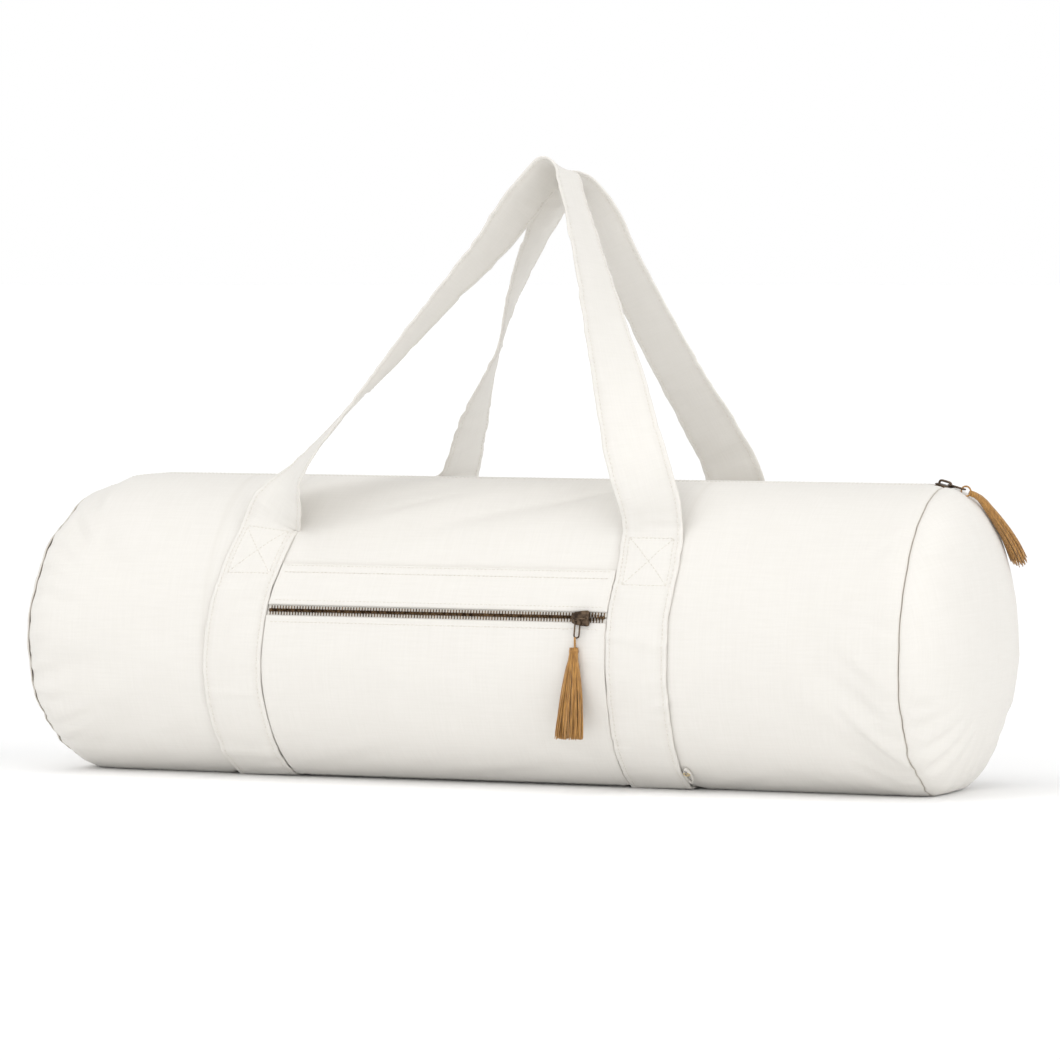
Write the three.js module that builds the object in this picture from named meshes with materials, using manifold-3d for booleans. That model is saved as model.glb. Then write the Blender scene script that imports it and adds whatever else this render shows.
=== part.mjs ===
import * as THREE from "three";
import { mergeVertices } from "three/addons/utils/BufferGeometryUtils.js";
import Module from "manifold-3d";

const wasm = await Module();
wasm.setup();
const { Manifold, Mesh } = wasm;

// Sizes are in millimetres. +Z is up, the bag lies along X and its front faces -Y.
// The bag stands on the floor at z = 0 with its handles held upright.
const bagLength = 728;
const bagDepth = 224;
const bagHeight = 236;
const widestHeight = 100;
const bottomSag = 6;
const clothThick = 2;
const seamGap = 0.4;

const strapThick = 2;
const strapWidth = 50;
const strapLeft = -184.5;
const strapRight = 149.7;
const strapLift = 0.5;
const strapTop = 199;
const strapTopBack = 178;
const strapRecess = strapLift + strapThick + 0.1;
const handleWidth = 50;

const slotHalf = 6;
const tapeThick = 0.8;
const tapeSplit = 0.6;
const tapeReach = 13;
const teethWide = 7;
const teethThick = 2.4;

const zipHeight = 130;
const zipOpening = 10;
const pocketLow = 24;
const pocketEdge = zipHeight - zipOpening / 2;
const bandTall = 33;
const bandEdge = zipHeight + zipOpening / 2;
const bandTop = bandEdge + bandTall;
const tapeBelow = 17;
const tapeAbove = 18;
const pocketThick = 1.4;
const pocketBulge = 3;
const sliderAlong = 107;

const domeLeft = 20;
const domeRight = 42;
const domeFull = 2.8;
const domeSlack = 0.3;
const domeCentre = 104;

// How full the body is, measured inwards from each end seam.
const leftEnd = [
  { inset: 0, size: 0.915, lean: 14 },
  { inset: 5, size: 0.945, lean: 12 },
  { inset: 12, size: 0.968, lean: 9 },
  { inset: 24, size: 0.985, lean: 5 },
  { inset: 45, size: 0.996, lean: 2 },
  { inset: 70, size: 1, lean: 0 },
];
// How far the top sinks towards the left seam.
const leftDroop = [
  { inset: 0, drop: 6 },
  { inset: 5, drop: 7 },
  { inset: 12, drop: 8 },
  { inset: 24, drop: 7.5 },
  { inset: 45, drop: 2 },
  { inset: 70, drop: 0 },
];
const rightEnd = [
  { inset: 0, size: 0.984 },
  { inset: 4, size: 0.992 },
  { inset: 12, size: 1 },
];

// Creases pressed into the cloth: place, length, width, depth in mm and the slant in degrees.
const creases = [
  { along: -70, turn: 152, long: 60, wide: 13, deep: 2.5, slant: 22 },
  { along: 10, turn: 148, long: 75, wide: 14, deep: 2.5, slant: 20 },
  { along: 75, turn: 156, long: 55, wide: 13, deep: 2, slant: 24 },
  { along: 322, turn: 80, long: 34, wide: 13, deep: 3, slant: -42 },
  { along: 332, turn: 48, long: 36, wide: 13, deep: 4, slant: -48 },
  { along: 250, turn: 128, long: 60, wide: 16, deep: 1.6, slant: 12 },
  { along: -322, turn: 132, long: 38, wide: 13, deep: 4, slant: -34 },
  { along: -330, turn: 82, long: 34, wide: 14, deep: 3.5, slant: 10 },
  { along: -300, turn: 50, long: 50, wide: 15, deep: 2.5, slant: 38 },
  { along: 300, turn: -70, long: 60, wide: 16, deep: 3, slant: 30 },
  { along: -20, turn: -80, long: 52, wide: 18, deep: 3, slant: -12 },
  { along: -310, turn: -110, long: 50, wide: 15, deep: 3, slant: 34 },
];

// Sideways drift of each strap up the body, pulled by its handle.
const strapDrift = [
  { height: 0, frontLeft: 0, frontRight: 0, backLeft: 0, backRight: 0 },
  { height: 75, frontLeft: 0, frontRight: 5, backLeft: 6, backRight: 1 },
  { height: 131, frontLeft: 4, frontRight: 5, backLeft: 23, backRight: 4 },
  { height: 171, frontLeft: 12, frontRight: 8, backLeft: 44, backRight: 8 },
  { height: 200, frontLeft: 19, frontRight: 6, backLeft: 56, backRight: 11 },
];

// Handles: centre of the ribbon, heading of its width and tip of its near edge in degrees.
const frontHandle = [
  { x: -155, y: -82, z: 218, heading: -20, tip: 0, wide: 50 },
  { x: -142, y: -82, z: 241, heading: -50, tip: 0, wide: 48 },
  { x: -101, y: -72, z: 292, heading: -68, tip: 0, wide: 46 },
  { x: -79, y: -66, z: 317, heading: -80, tip: 0, wide: 46 },
  { x: -42, y: -55, z: 362, heading: -92, tip: 0, wide: 46 },
  { x: -18, y: -48, z: 390, heading: -96, tip: 2, wide: 48 },
  { x: 5, y: -38, z: 419, heading: -101, tip: 4, wide: 50 },
  { x: 20, y: -32, z: 441, heading: -104, tip: 8, wide: 50 },
  { x: 39, y: -27, z: 465, heading: -104, tip: 12, wide: 50 },
  { x: 52, y: -25, z: 478, heading: -98, tip: 15, wide: 50 },
  { x: 61, y: -24, z: 474, heading: -93, tip: 10, wide: 50 },
  { x: 66, y: -24, z: 459, heading: -90, tip: 4, wide: 50 },
  { x: 72, y: -25, z: 441, heading: -90, tip: 0, wide: 50 },
  { x: 95, y: -38, z: 375, heading: -104, tip: 0, wide: 50 },
  { x: 118, y: -55, z: 314, heading: -125, tip: 0, wide: 49 },
  { x: 132, y: -69, z: 276, heading: -146, tip: 0, wide: 47 },
  { x: 147, y: -82, z: 241, heading: -171, tip: 0, wide: 48 },
  { x: 154, y: -83, z: 220, heading: -178, tip: 0, wide: 50 },
];
const backHandle = [
  { x: -114, y: 99, z: 198, heading: -144, tip: 30, wide: 50 },
  { x: -96, y: 101, z: 217, heading: -121, tip: 16, wide: 49 },
  { x: -81, y: 96, z: 235, heading: -104, tip: 5, wide: 48 },
  { x: -71, y: 88, z: 253, heading: -98, tip: 1, wide: 48 },
  { x: -62, y: 78, z: 273, heading: -96, tip: 0, wide: 48 },
  { x: -52, y: 68, z: 294, heading: -86, tip: 0, wide: 48 },
  { x: -28, y: 55, z: 340, heading: -68, tip: 0, wide: 46 },
  { x: -11, y: 45, z: 378, heading: -78, tip: 0, wide: 48 },
  { x: 6, y: 37, z: 412, heading: -88, tip: 0, wide: 49 },
  { x: 24, y: 31, z: 442, heading: -92, tip: 6, wide: 50 },
  { x: 41, y: 28, z: 464, heading: -88, tip: 14, wide: 50 },
  { x: 53, y: 27, z: 464, heading: -58, tip: 16, wide: 50 },
  { x: 64, y: 28, z: 448, heading: -34, tip: 4, wide: 50 },
  { x: 79, y: 31, z: 415, heading: -26, tip: 0, wide: 50 },
  { x: 103, y: 44, z: 362, heading: -24, tip: 0, wide: 50 },
  { x: 128, y: 57, z: 310, heading: -18, tip: 0, wide: 50 },
  { x: 141, y: 66, z: 284, heading: -13, tip: 0, wide: 50 },
  { x: 160, y: 83, z: 236, heading: -4, tip: 0, wide: 50 },
  { x: 160, y: 95, z: 203, heading: -1, tip: 0, wide: 50 },
];

// Both tassels: distance below the neck, half width and depth of the skirt of locks.
const tasselShape = [
  { drop: 0, wide: 3.2, deep: 3.0 },
  { drop: 3, wide: 3.9, deep: 3.6 },
  { drop: 6, wide: 3.3, deep: 3.1 },
  { drop: 16, wide: 5.2, deep: 4.2 },
  { drop: 32, wide: 7.6, deep: 5.2 },
  { drop: 50, wide: 9.6, deep: 6.0 },
  { drop: 74, wide: 11, deep: 6.6 },
];
// The main tassel lies over the rounded end: its centre line, measured down from the top of the bag,
// with how far it stands off the cloth.
const drapedTassel = [
  { y: 6, below: 5, off: 9 },
  { y: 12, below: 12, off: 9 },
  { y: 24, below: 25, off: 9 },
  { y: 38, below: 40, off: 9.5 },
  { y: 52, below: 55, off: 10 },
];

const canvas = new THREE.MeshStandardMaterial({ color: 0xefe9dd, roughness: 0.92, metalness: 0 });
const webbing = new THREE.MeshStandardMaterial({ color: 0xeae2d3, roughness: 0.92, metalness: 0 });
const tape = new THREE.MeshStandardMaterial({ color: 0xe5dccb, roughness: 0.9, metalness: 0 });
const brass = new THREE.MeshStandardMaterial({ color: 0x8a6a3c, roughness: 0.35, metalness: 1 });
const bronze = new THREE.MeshStandardMaterial({ color: 0x4a3a28, roughness: 0.35, metalness: 1 });
const thread = new THREE.MeshStandardMaterial({ color: 0x9c6728, roughness: 0.85, metalness: 0 });

const group = new THREE.Group();
group.name = "yoga_kit_bag";

const radians = (degrees) => (degrees * Math.PI) / 180;
const degreesOf = (angle) => (angle * 180) / Math.PI;
const mix = (a, b, k) => a + (b - a) * k;
const limit = (value, low, high) => Math.min(Math.max(value, low), high);

function lookUp(table, key, column, value) {
  const last = table[table.length - 1];
  if (value <= table[0][key]) {
    return table[0][column];
  }
  for (let i = 1; i < table.length; i += 1) {
    const before = table[i - 1];
    const after = table[i];
    if (value <= after[key]) {
      const k = (value - before[key]) / (after[key] - before[key]);
      return mix(before[column], after[column], k);
    }
  }
  return last[column];
}

function endSize(x) {
  const fromLeft = x + bagLength / 2;
  const fromRight = bagLength / 2 - x;
  const left = lookUp(leftEnd, "inset", "size", fromLeft);
  const right = lookUp(rightEnd, "inset", "size", fromRight);
  return Math.min(left, right);
}

function recessAt(x) {
  const away = Math.min(Math.abs(x - strapLeft), Math.abs(x - strapRight)) - strapWidth / 2;
  return strapRecess * limit((9 - away) / 7, 0, 1);
}

function creaseDepth(x, turn) {
  let depth = 0;
  const radius = bagDepth / 2;
  for (const crease of creases) {
    const slant = radians(crease.slant);
    const dx = x - crease.along;
    const ds = radians(turn - crease.turn) * radius;
    const u = dx * Math.cos(slant) + ds * Math.sin(slant);
    const v = ds * Math.cos(slant) - dx * Math.sin(slant);
    depth += crease.deep * Math.exp(-((u / crease.long) ** 2) - (v / crease.wide) ** 2);
  }
  return depth;
}

function gathers(x, turn) {
  const fromLeft = x + bagLength / 2;
  const fromRight = bagLength / 2 - x;
  const left = Math.exp(-fromLeft / 12) * 1.3 * Math.cos(radians(turn * 11));
  const right = Math.exp(-fromRight / 10) * 0.9 * Math.cos(radians(turn * 13 + 40));
  const low = limit((100 - Math.abs(turn)) / 60, 0, 1) * limit((Math.abs(turn) - 20) / 10, 0, 1);
  return left * limit((Math.abs(turn) - 20) / 10, 0, 1) + right * low;
}

// A point of the body's outer face: x along the bag, turn from the bottom (0) over the front (90) to the top (180).
function bodyPoint(x, turn) {
  const size = endSize(x);
  const reach = Math.abs(turn) < 90 ? widestHeight + bottomSag : bagHeight - widestHeight;
  const press = Math.abs(turn) < 24 ? 0 : creaseDepth(x, turn) - gathers(x, turn);
  const sine = Math.sin(radians(turn));
  const cosine = Math.cos(radians(turn));
  const y = -sine * ((bagDepth / 2) * size - press);
  const z = widestHeight - cosine * (reach * size - press);
  const fromLeft = x + bagLength / 2;
  const lean = lookUp(leftEnd, "inset", "lean", fromLeft);
  const droop = lookUp(leftDroop, "inset", "drop", fromLeft) * limit((Math.abs(turn) - 110) / 50, 0, 1);
  return new THREE.Vector3(x + lean * cosine * cosine, y, Math.max(z - droop, recessAt(x)));
}

// A point above (or, with a negative lift, below) the body's outer face.
function skin(x, turn, lift) {
  const point = bodyPoint(x, turn);
  const round = bodyPoint(x, turn + 3).sub(bodyPoint(x, turn - 3));
  const along = bodyPoint(x + 2, turn).sub(bodyPoint(x - 2, turn));
  const normal = along.cross(round).normalize();
  return point.addScaledVector(normal, lift);
}

function turnAt(height) {
  return 90 + degreesOf(Math.asin((height - widestHeight) / (bagHeight - widestHeight)));
}

const flatTurn = degreesOf(Math.acos(widestHeight / (widestHeight + bottomSag)));
const slotTurn = 180 - degreesOf(Math.asin(slotHalf / (bagDepth / 2)));

function halfTurns() {
  const turns = [0, flatTurn / 2];
  for (let i = 0; i <= 7; i += 1) {
    turns.push(mix(flatTurn, 90, i / 7));
  }
  for (let i = 1; i <= 9; i += 1) {
    turns.push(mix(90, slotTurn, i / 9));
  }
  return turns;
}

const frontTurns = halfTurns();
const ringTurns = [...frontTurns.slice(1).reverse().map((turn) => -turn), ...frontTurns];

function turnsBetween(low, high, extra = []) {
  const inside = frontTurns.filter((turn) => turn > low + 0.6 && turn < high - 0.6);
  return [low, ...inside, high, ...extra].sort((a, b) => a - b);
}

function strapStations(centre) {
  const half = strapWidth / 2;
  return [centre - half - 9, centre - half - 2, centre, centre + half + 2, centre + half + 9];
}

const stations = [
  ...leftEnd.map((row) => row.inset - bagLength / 2),
  ...strapStations(strapLeft),
  ...[0.14, 0.32, 0.5, 0.68, 0.86].map((k) => mix(strapLeft, strapRight, k)),
  ...strapStations(strapRight),
  ...[0.3, 0.55, 0.75, 0.88].map((k) => mix(strapRight, bagLength / 2, k)),
  ...rightEnd.map((row) => bagLength / 2 - row.inset).reverse(),
];

function volumeOf(points, faces) {
  let total = 0;
  for (const [a, b, c] of faces) {
    total += points[a].dot(new THREE.Vector3().crossVectors(points[b], points[c]));
  }
  return total / 6;
}

function addMesh(name, geometry, material) {
  geometry.computeVertexNormals();
  const mesh = new THREE.Mesh(geometry, material);
  mesh.name = name;
  group.add(mesh);
}

function geometryFrom(points, faces) {
  const facing = volumeOf(points, faces) < 0 ? faces.map(([a, b, c]) => [a, c, b]) : faces;
  const geometry = new THREE.BufferGeometry();
  const values = points.flatMap((point) => [point.x, point.y, point.z]);
  geometry.setAttribute("position", new THREE.Float32BufferAttribute(values, 3));
  geometry.setIndex(facing.flat());
  return geometry;
}

// A cloth plate between two grids of points of the same size.
function plate(outer, inner) {
  const rows = outer.length;
  const columns = outer[0].length;
  const points = [...outer.flat(), ...inner.flat()];
  const at = (side, row, column) => side * rows * columns + row * columns + column;
  const faces = [];
  const quad = (a, b, c, d) => faces.push([a, b, c], [a, c, d]);
  for (let i = 0; i < rows - 1; i += 1) {
    for (let j = 0; j < columns - 1; j += 1) {
      quad(at(0, i, j), at(0, i + 1, j), at(0, i + 1, j + 1), at(0, i, j + 1));
      quad(at(1, i, j), at(1, i, j + 1), at(1, i + 1, j + 1), at(1, i + 1, j));
    }
    quad(at(0, i, 0), at(1, i, 0), at(1, i + 1, 0), at(0, i + 1, 0));
    const end = columns - 1;
    quad(at(0, i, end), at(0, i + 1, end), at(1, i + 1, end), at(1, i, end));
  }
  for (let j = 0; j < columns - 1; j += 1) {
    quad(at(0, 0, j), at(0, 0, j + 1), at(1, 0, j + 1), at(1, 0, j));
    const end = rows - 1;
    quad(at(0, end, j), at(1, end, j), at(1, end, j + 1), at(0, end, j + 1));
  }
  return geometryFrom(points, faces);
}

// Closed rings joined one to the next, each end closed by a fan to the ring's middle.
function ringsSolid(rings) {
  const count = rings[0].length;
  const points = rings.flat();
  const faces = [];
  for (let i = 0; i < rings.length - 1; i += 1) {
    for (let j = 0; j < count; j += 1) {
      const next = (j + 1) % count;
      const a = i * count + j;
      const b = i * count + next;
      const c = (i + 1) * count + next;
      const d = (i + 1) * count + j;
      faces.push([a, b, c], [a, c, d]);
    }
  }
  for (const [row, side] of [[0, 1], [rings.length - 1, -1]]) {
    const middle = new THREE.Vector3();
    rings[row].forEach((point) => middle.addScaledVector(point, 1 / count));
    const centre = points.push(middle) - 1;
    for (let j = 0; j < count; j += 1) {
      const a = row * count + j;
      const b = row * count + ((j + 1) % count);
      faces.push(side > 0 ? [centre, b, a] : [centre, a, b]);
    }
  }
  return geometryFrom(points, faces);
}

function solidOf(geometry) {
  const plain = new THREE.BufferGeometry();
  plain.setAttribute("position", geometry.getAttribute("position"));
  if (geometry.index) {
    plain.setIndex(geometry.index);
  }
  const merged = mergeVertices(plain, 1e-4);
  const vertProperties = new Float32Array(merged.getAttribute("position").array);
  const triVerts = new Uint32Array(merged.index.array);
  const mesh = new Mesh({ numProp: 3, vertProperties, triVerts });
  mesh.merge();
  return new Manifold(mesh);
}

function geometryOf(solid) {
  const mesh = solid.getMesh();
  const geometry = new THREE.BufferGeometry();
  const values = [];
  for (let i = 0; i < mesh.vertProperties.length; i += mesh.numProp) {
    values.push(mesh.vertProperties[i], mesh.vertProperties[i + 1], mesh.vertProperties[i + 2]);
  }
  geometry.setAttribute("position", new THREE.Float32BufferAttribute(values, 3));
  geometry.setIndex(Array.from(mesh.triVerts));
  return geometry;
}

// Body: one wrap of canvas with a slot along the top for the zip.
const wallGrid = (lift) => stations.map((x) => ringTurns.map((turn) => skin(x, turn, lift)));
addMesh("body_wrap", plate(wallGrid(0), wallGrid(-clothThick)), canvas);

// Rounded end panels, sewn rim to rim with the wrap.
const domeSteps = [1, 0.985, 0.95, 0.88, 0.76, 0.55, 0.3, 0.08];
const rimTurns = [...ringTurns, 180];

function domePoint(side, turn, radius, bulge) {
  const rim = bodyPoint(side * (bagLength / 2), turn);
  const lean = rim.x - side * (bagLength / 2);
  const low = limit((90 - Math.abs(turn)) / 70, 0, 1) * radius;
  const swell = bulge * (1 - domeSlack * low) * Math.sqrt(Math.max(0, 1 - radius ** domeFull));
  return new THREE.Vector3(
    side * (bagLength / 2 + seamGap + swell) + lean * radius * radius,
    rim.y * radius,
    mix(domeCentre, rim.z, radius),
  );
}

function endPanel(side, bulge) {
  const shrink = 1 - (2 * clothThick) / bagDepth;
  const outer = domeSteps.map((step) => rimTurns.map((turn) => domePoint(side, turn, step, bulge)));
  const inner = domeSteps.map((step) => rimTurns.map((turn) => {
    const point = domePoint(side, turn, step, bulge - clothThick);
    point.y *= shrink;
    point.z = mix(domeCentre, point.z, shrink);
    return point;
  }));
  return ringsSolid([...outer.reverse(), ...inner]);
}

addMesh("end_panel_left", endPanel(-1, domeLeft), canvas);
addMesh("end_panel_right", endPanel(1, domeRight), canvas);

// Straps: each ribbon runs from under the bag up one strap line, over as a handle and down the other.
function strapCentre(column, height) {
  const base = column.endsWith("Left") ? strapLeft : strapRight;
  return base + lookUp(strapDrift, "height", column, height);
}

function strapRows(side, column) {
  const start = degreesOf(Math.asin(0.3 / (bagDepth / 2)));
  const end = turnAt(side > 0 ? strapTop : strapTopBack);
  const flip = column.endsWith("Left") ? side : -side;
  const centreAt = (turn) => {
    const height = bodyPoint(strapCentre(column, 0), side * turn).z;
    return strapCentre(column, height);
  };
  return turnsBetween(start, end).map((turn) => {
    const drift = (centreAt(turn + 2) - centreAt(turn - 2)) / (radians(4) * (bagDepth / 2));
    const slant = side < 0 ? Math.atan(drift) * limit((turn - 80) / 30, 0, 1) : 0;
    const lift = strapLift + 1.6 * Math.abs(Math.sin(slant));
    const spots = [-0.5, 0, 0.5].map((k) => {
      const away = flip * k * strapWidth;
      const lower = degreesOf((away * Math.sin(slant)) / (bagDepth / 2));
      return { x: centreAt(turn) + away * Math.cos(slant), turn: side * (turn - lower) };
    });
    return {
      inner: spots.map((spot) => skin(spot.x, spot.turn, lift)),
      outer: spots.map((spot) => skin(spot.x, spot.turn, lift + strapThick)),
    };
  });
}

function middleOf(row) {
  return new THREE.Vector3().addVectors(row.inner[1], row.outer[1]).multiplyScalar(0.5);
}

function widthOf(row, near) {
  const width = new THREE.Vector3().subVectors(row.outer[2], row.outer[0]).normalize();
  const heading = degreesOf(Math.atan2(width.y, width.x));
  const turns = Math.round((near - heading) / 360);
  return { heading: heading + 360 * turns, tip: degreesOf(Math.asin(width.z)), wide: handleWidth };
}

function handleRows(table, firstRow, lastRow, steps) {
  const table2 = [
    widthOf(firstRow, table[0].heading),
    ...table,
    widthOf(lastRow, table[table.length - 1].heading),
  ];
  const places = table.map((row) => new THREE.Vector3(row.x, row.y, row.z));
  const centres = [middleOf(firstRow), ...places, middleOf(lastRow)];
  const curve = new THREE.CatmullRomCurve3(centres, false, "centripetal");
  const rows = [];
  const spans = centres.length - 1;
  for (let i = 1; i < spans * steps; i += 1) {
    const place = i / (spans * steps);
    const span = Math.floor(i / steps);
    const k = i / steps - span;
    const from = table2[span];
    const to = table2[Math.min(span + 1, spans)];
    const heading = radians(mix(from.heading, to.heading, k));
    const tip = radians(mix(from.tip, to.tip, k));
    const half = mix(from.wide, to.wide, k) / 2;
    const centre = curve.getPoint(place);
    const tangent = curve.getTangent(place);
    const width = new THREE.Vector3(
      Math.cos(heading) * Math.cos(tip),
      Math.sin(heading) * Math.cos(tip),
      Math.sin(tip),
    );
    width.addScaledVector(tangent, -width.dot(tangent)).normalize();
    const normal = new THREE.Vector3().crossVectors(width, tangent);
    const shift = (side, k2) => centre.clone()
      .addScaledVector(width, k2 * half)
      .addScaledVector(normal, (side * strapThick) / 2);
    rows.push({
      inner: [-1, 0, 1].map((k2) => shift(-1, k2)),
      outer: [-1, 0, 1].map((k2) => shift(1, k2)),
    });
  }
  return rows;
}

function strapRibbon(side, columns, table) {
  const up = strapRows(side, columns[0]);
  const down = strapRows(side, columns[1]).reverse();
  const rows = [...up, ...handleRows(table, up[up.length - 1], down[0], 2), ...down];
  return plate(rows.map((row) => row.outer), rows.map((row) => row.inner));
}

addMesh("strap_front", strapRibbon(1, ["frontLeft", "frontRight"], frontHandle), webbing);
addMesh("strap_back", strapRibbon(-1, ["backLeft", "backRight"], backHandle), webbing);

// Front pocket between the straps: lower panel, zip and upper band.
const pocketColumns = [0, 0.1, 0.3, 0.5, 0.7, 0.9, 1];

function pocketX(turn, k) {
  const height = bodyPoint(0, turn).z;
  const left = strapCentre("frontLeft", height) + strapWidth / 2 + 0.6;
  const right = strapCentre("frontRight", height) - strapWidth / 2 - 0.6;
  return mix(left, right, k);
}

function pocketPlate(turns, liftAt, thick) {
  const grid = (extra) => turns.map((turn) => pocketColumns.map((k) => (
    skin(pocketX(turn, k), turn, liftAt(turn, k) + extra)
  )));
  return plate(grid(thick), grid(0));
}

const zipLift = strapLift + tapeThick + seamGap;

function panelLift(turn, k) {
  const up = limit((turn - 60) / 28, 0, 1);
  const base = mix(strapLift, zipLift, up);
  const rise = limit((turn - pocketLow) / (turnAt(pocketEdge) - pocketLow), 0, 1);
  return base + pocketBulge * Math.sin(Math.PI * rise) ** 2 * Math.sin(Math.PI * k) ** 2;
}

// The band comes down to the body once it is past the tape.
const tapeTop = turnAt(zipHeight + tapeAbove);
const bandStep = 5;
const bandRest = tapeTop + 7.33268;

function bandLift(turn) {
  const down = limit((bandRest - turn) / bandStep, 0, 1);
  return mix(strapLift, zipLift, down);
}

const panelTurns = turnsBetween(pocketLow, turnAt(pocketEdge));
const bandTurns = turnsBetween(turnAt(bandEdge), turnAt(bandTop), [bandRest - bandStep + 0.5]);
addMesh("pocket_panel", pocketPlate(panelTurns, panelLift, pocketThick), canvas);
addMesh("pocket_band", pocketPlate(bandTurns, bandLift, pocketThick), canvas);

const lowerTape = turnsBetween(turnAt(zipHeight - tapeBelow), turnAt(zipHeight - tapeSplit / 2));
const upperTape = turnsBetween(turnAt(zipHeight + tapeSplit / 2), tapeTop);
addMesh("pocket_tape_lower", pocketPlate(lowerTape, () => strapLift, tapeThick), tape);
addMesh("pocket_tape_upper", pocketPlate(upperTape, () => strapLift, tapeThick), tape);
const chainTurns = [turnAt(zipHeight - teethWide / 2), turnAt(zipHeight + teethWide / 2)];
addMesh("pocket_teeth", pocketPlate(chainTurns, () => zipLift + 0.2, teethThick), brass);

// Main zip in the slot along the top.
const zipStations = stations.map((x) => limit(x, 3 - bagLength / 2, bagLength / 2 - 3));
const topTurn = (y) => 180 - degreesOf(Math.asin(Math.abs(y) / (bagDepth / 2)));

function topStrip(offsets, lift, thick) {
  const grid = (extra) => zipStations.map((x) => offsets.map((y) => (
    skin(x, (y < 0 ? 1 : -1) * topTurn(y), lift + extra)
  )));
  return plate(grid(0), grid(-thick));
}

const tapeLift = -clothThick - 2 * seamGap;
addMesh("main_tape_front", topStrip([-tapeReach, -slotHalf, -0.3], tapeLift, tapeThick), tape);
addMesh("main_tape_back", topStrip([0.3, slotHalf, tapeReach], tapeLift, tapeThick), tape);
const chainLift = tapeLift + seamGap + teethThick;
addMesh("main_teeth", topStrip([-teethWide / 2, teethWide / 2], chainLift, teethThick), brass);

// Slider: a shield plate with a bridge, lying in its own XY plane with the bridge towards +Z.
const sliderLong = 16;
const sliderWide = 12;
const sliderThick = 2.4;
const bridgeRise = 3.6;
const linkLong = 13;
const linkWide = 5;
const linkThick = 1.2;

function slider() {
  const outline = new THREE.Shape();
  outline.moveTo(-sliderLong / 2, -sliderWide * 0.32);
  outline.lineTo(-sliderLong * 0.22, -sliderWide / 2);
  outline.lineTo(sliderLong * 0.4, -sliderWide / 2);
  outline.lineTo(sliderLong / 2, -sliderWide * 0.38);
  outline.lineTo(sliderLong / 2, sliderWide * 0.38);
  outline.lineTo(sliderLong * 0.4, sliderWide / 2);
  outline.lineTo(-sliderLong * 0.22, sliderWide / 2);
  outline.lineTo(-sliderLong / 2, sliderWide * 0.32);
  const base = new THREE.ExtrudeGeometry(outline, { depth: sliderThick, bevelEnabled: false });
  const arch = new THREE.Shape();
  arch.moveTo(-5.4, -0.6);
  arch.lineTo(-5.4, bridgeRise - 1);
  arch.lineTo(-4, bridgeRise);
  arch.lineTo(4, bridgeRise);
  arch.lineTo(5.4, bridgeRise - 1);
  arch.lineTo(5.4, -0.6);
  arch.lineTo(3.8, -0.6);
  arch.lineTo(3.8, bridgeRise - 1.4);
  arch.lineTo(-3.8, bridgeRise - 1.4);
  arch.lineTo(-3.8, -0.6);
  const bridge = new THREE.ExtrudeGeometry(arch, { depth: 1.8, bevelEnabled: false });
  bridge.translate(0, 0, -0.9);
  bridge.rotateX(Math.PI / 2);
  bridge.translate(0, 0, sliderThick);
  return { base, bridge };
}

function link() {
  const outline = new THREE.Shape();
  const half = linkWide / 2;
  outline.moveTo(-half + 1, 0);
  outline.lineTo(half - 1, 0);
  outline.lineTo(half, -1);
  outline.lineTo(half, -linkLong + 1);
  outline.lineTo(half - 1, -linkLong);
  outline.lineTo(-half + 1, -linkLong);
  outline.lineTo(-half, -linkLong + 1);
  outline.lineTo(-half, -1);
  const hole = new THREE.Path();
  const inner = half - 1.1;
  hole.moveTo(-inner, -1.3);
  hole.lineTo(-inner, -linkLong + 1.3);
  hole.lineTo(inner, -linkLong + 1.3);
  hole.lineTo(inner, -1.3);
  outline.holes.push(hole);
  return new THREE.ExtrudeGeometry(outline, { depth: linkThick, bevelEnabled: false });
}

function lockRing(centre, across, out, wide, deep, ridges) {
  const points = [];
  const count = 24;
  for (let i = 0; i < count; i += 1) {
    const angle = (i / count) * Math.PI * 2;
    const lobe = 1 - ridges * (i % 2);
    points.push(centre.clone()
      .addScaledVector(across, Math.cos(angle) * wide * lobe)
      .addScaledVector(out, Math.sin(angle) * deep * lobe));
  }
  return points;
}

function tasselLoop(centre, normal, radius) {
  const ring = new THREE.TorusGeometry(radius, 0.8, 6, 16);
  const facing = new THREE.Quaternion().setFromUnitVectors(new THREE.Vector3(0, 0, 1), normal);
  ring.applyQuaternion(facing);
  ring.translate(centre.x, centre.y, centre.z);
  return ring;
}

// Pocket slider on the chain, its link and tassel hanging straight down in front of the pocket.
const sliderTop = skin(sliderAlong, chainTurns[0], zipLift + 0.2 + teethThick + 0.5);
const faceY = sliderTop.y;
const pocketParts = slider();
for (const piece of [pocketParts.base, pocketParts.bridge]) {
  piece.rotateX(Math.PI / 2);
  piece.translate(sliderAlong, faceY, zipHeight);
}
const bridgeTurned = pocketParts.bridge;
bridgeTurned.translate(-sliderAlong, 0, -zipHeight);
bridgeTurned.rotateY(Math.PI / 2);
bridgeTurned.translate(sliderAlong, 0, zipHeight);
const pocketSlider = Manifold.union([solidOf(pocketParts.base), solidOf(bridgeTurned)]);
addMesh("pocket_slider", geometryOf(pocketSlider), bronze);

const pocketLink = link();
const linkTop = zipHeight - 2.1;
const linkY = faceY - sliderThick - 0.5;
pocketLink.rotateX(Math.PI / 2);
pocketLink.translate(sliderAlong, linkY, linkTop);
addMesh("pocket_link", pocketLink, bronze);

const loopRadius = 3.8;
const loopZ = linkTop - linkLong - 0.2;
const hangY = linkY - linkThick / 2 - 1.2;
const tasselLean = 0.045;

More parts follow.
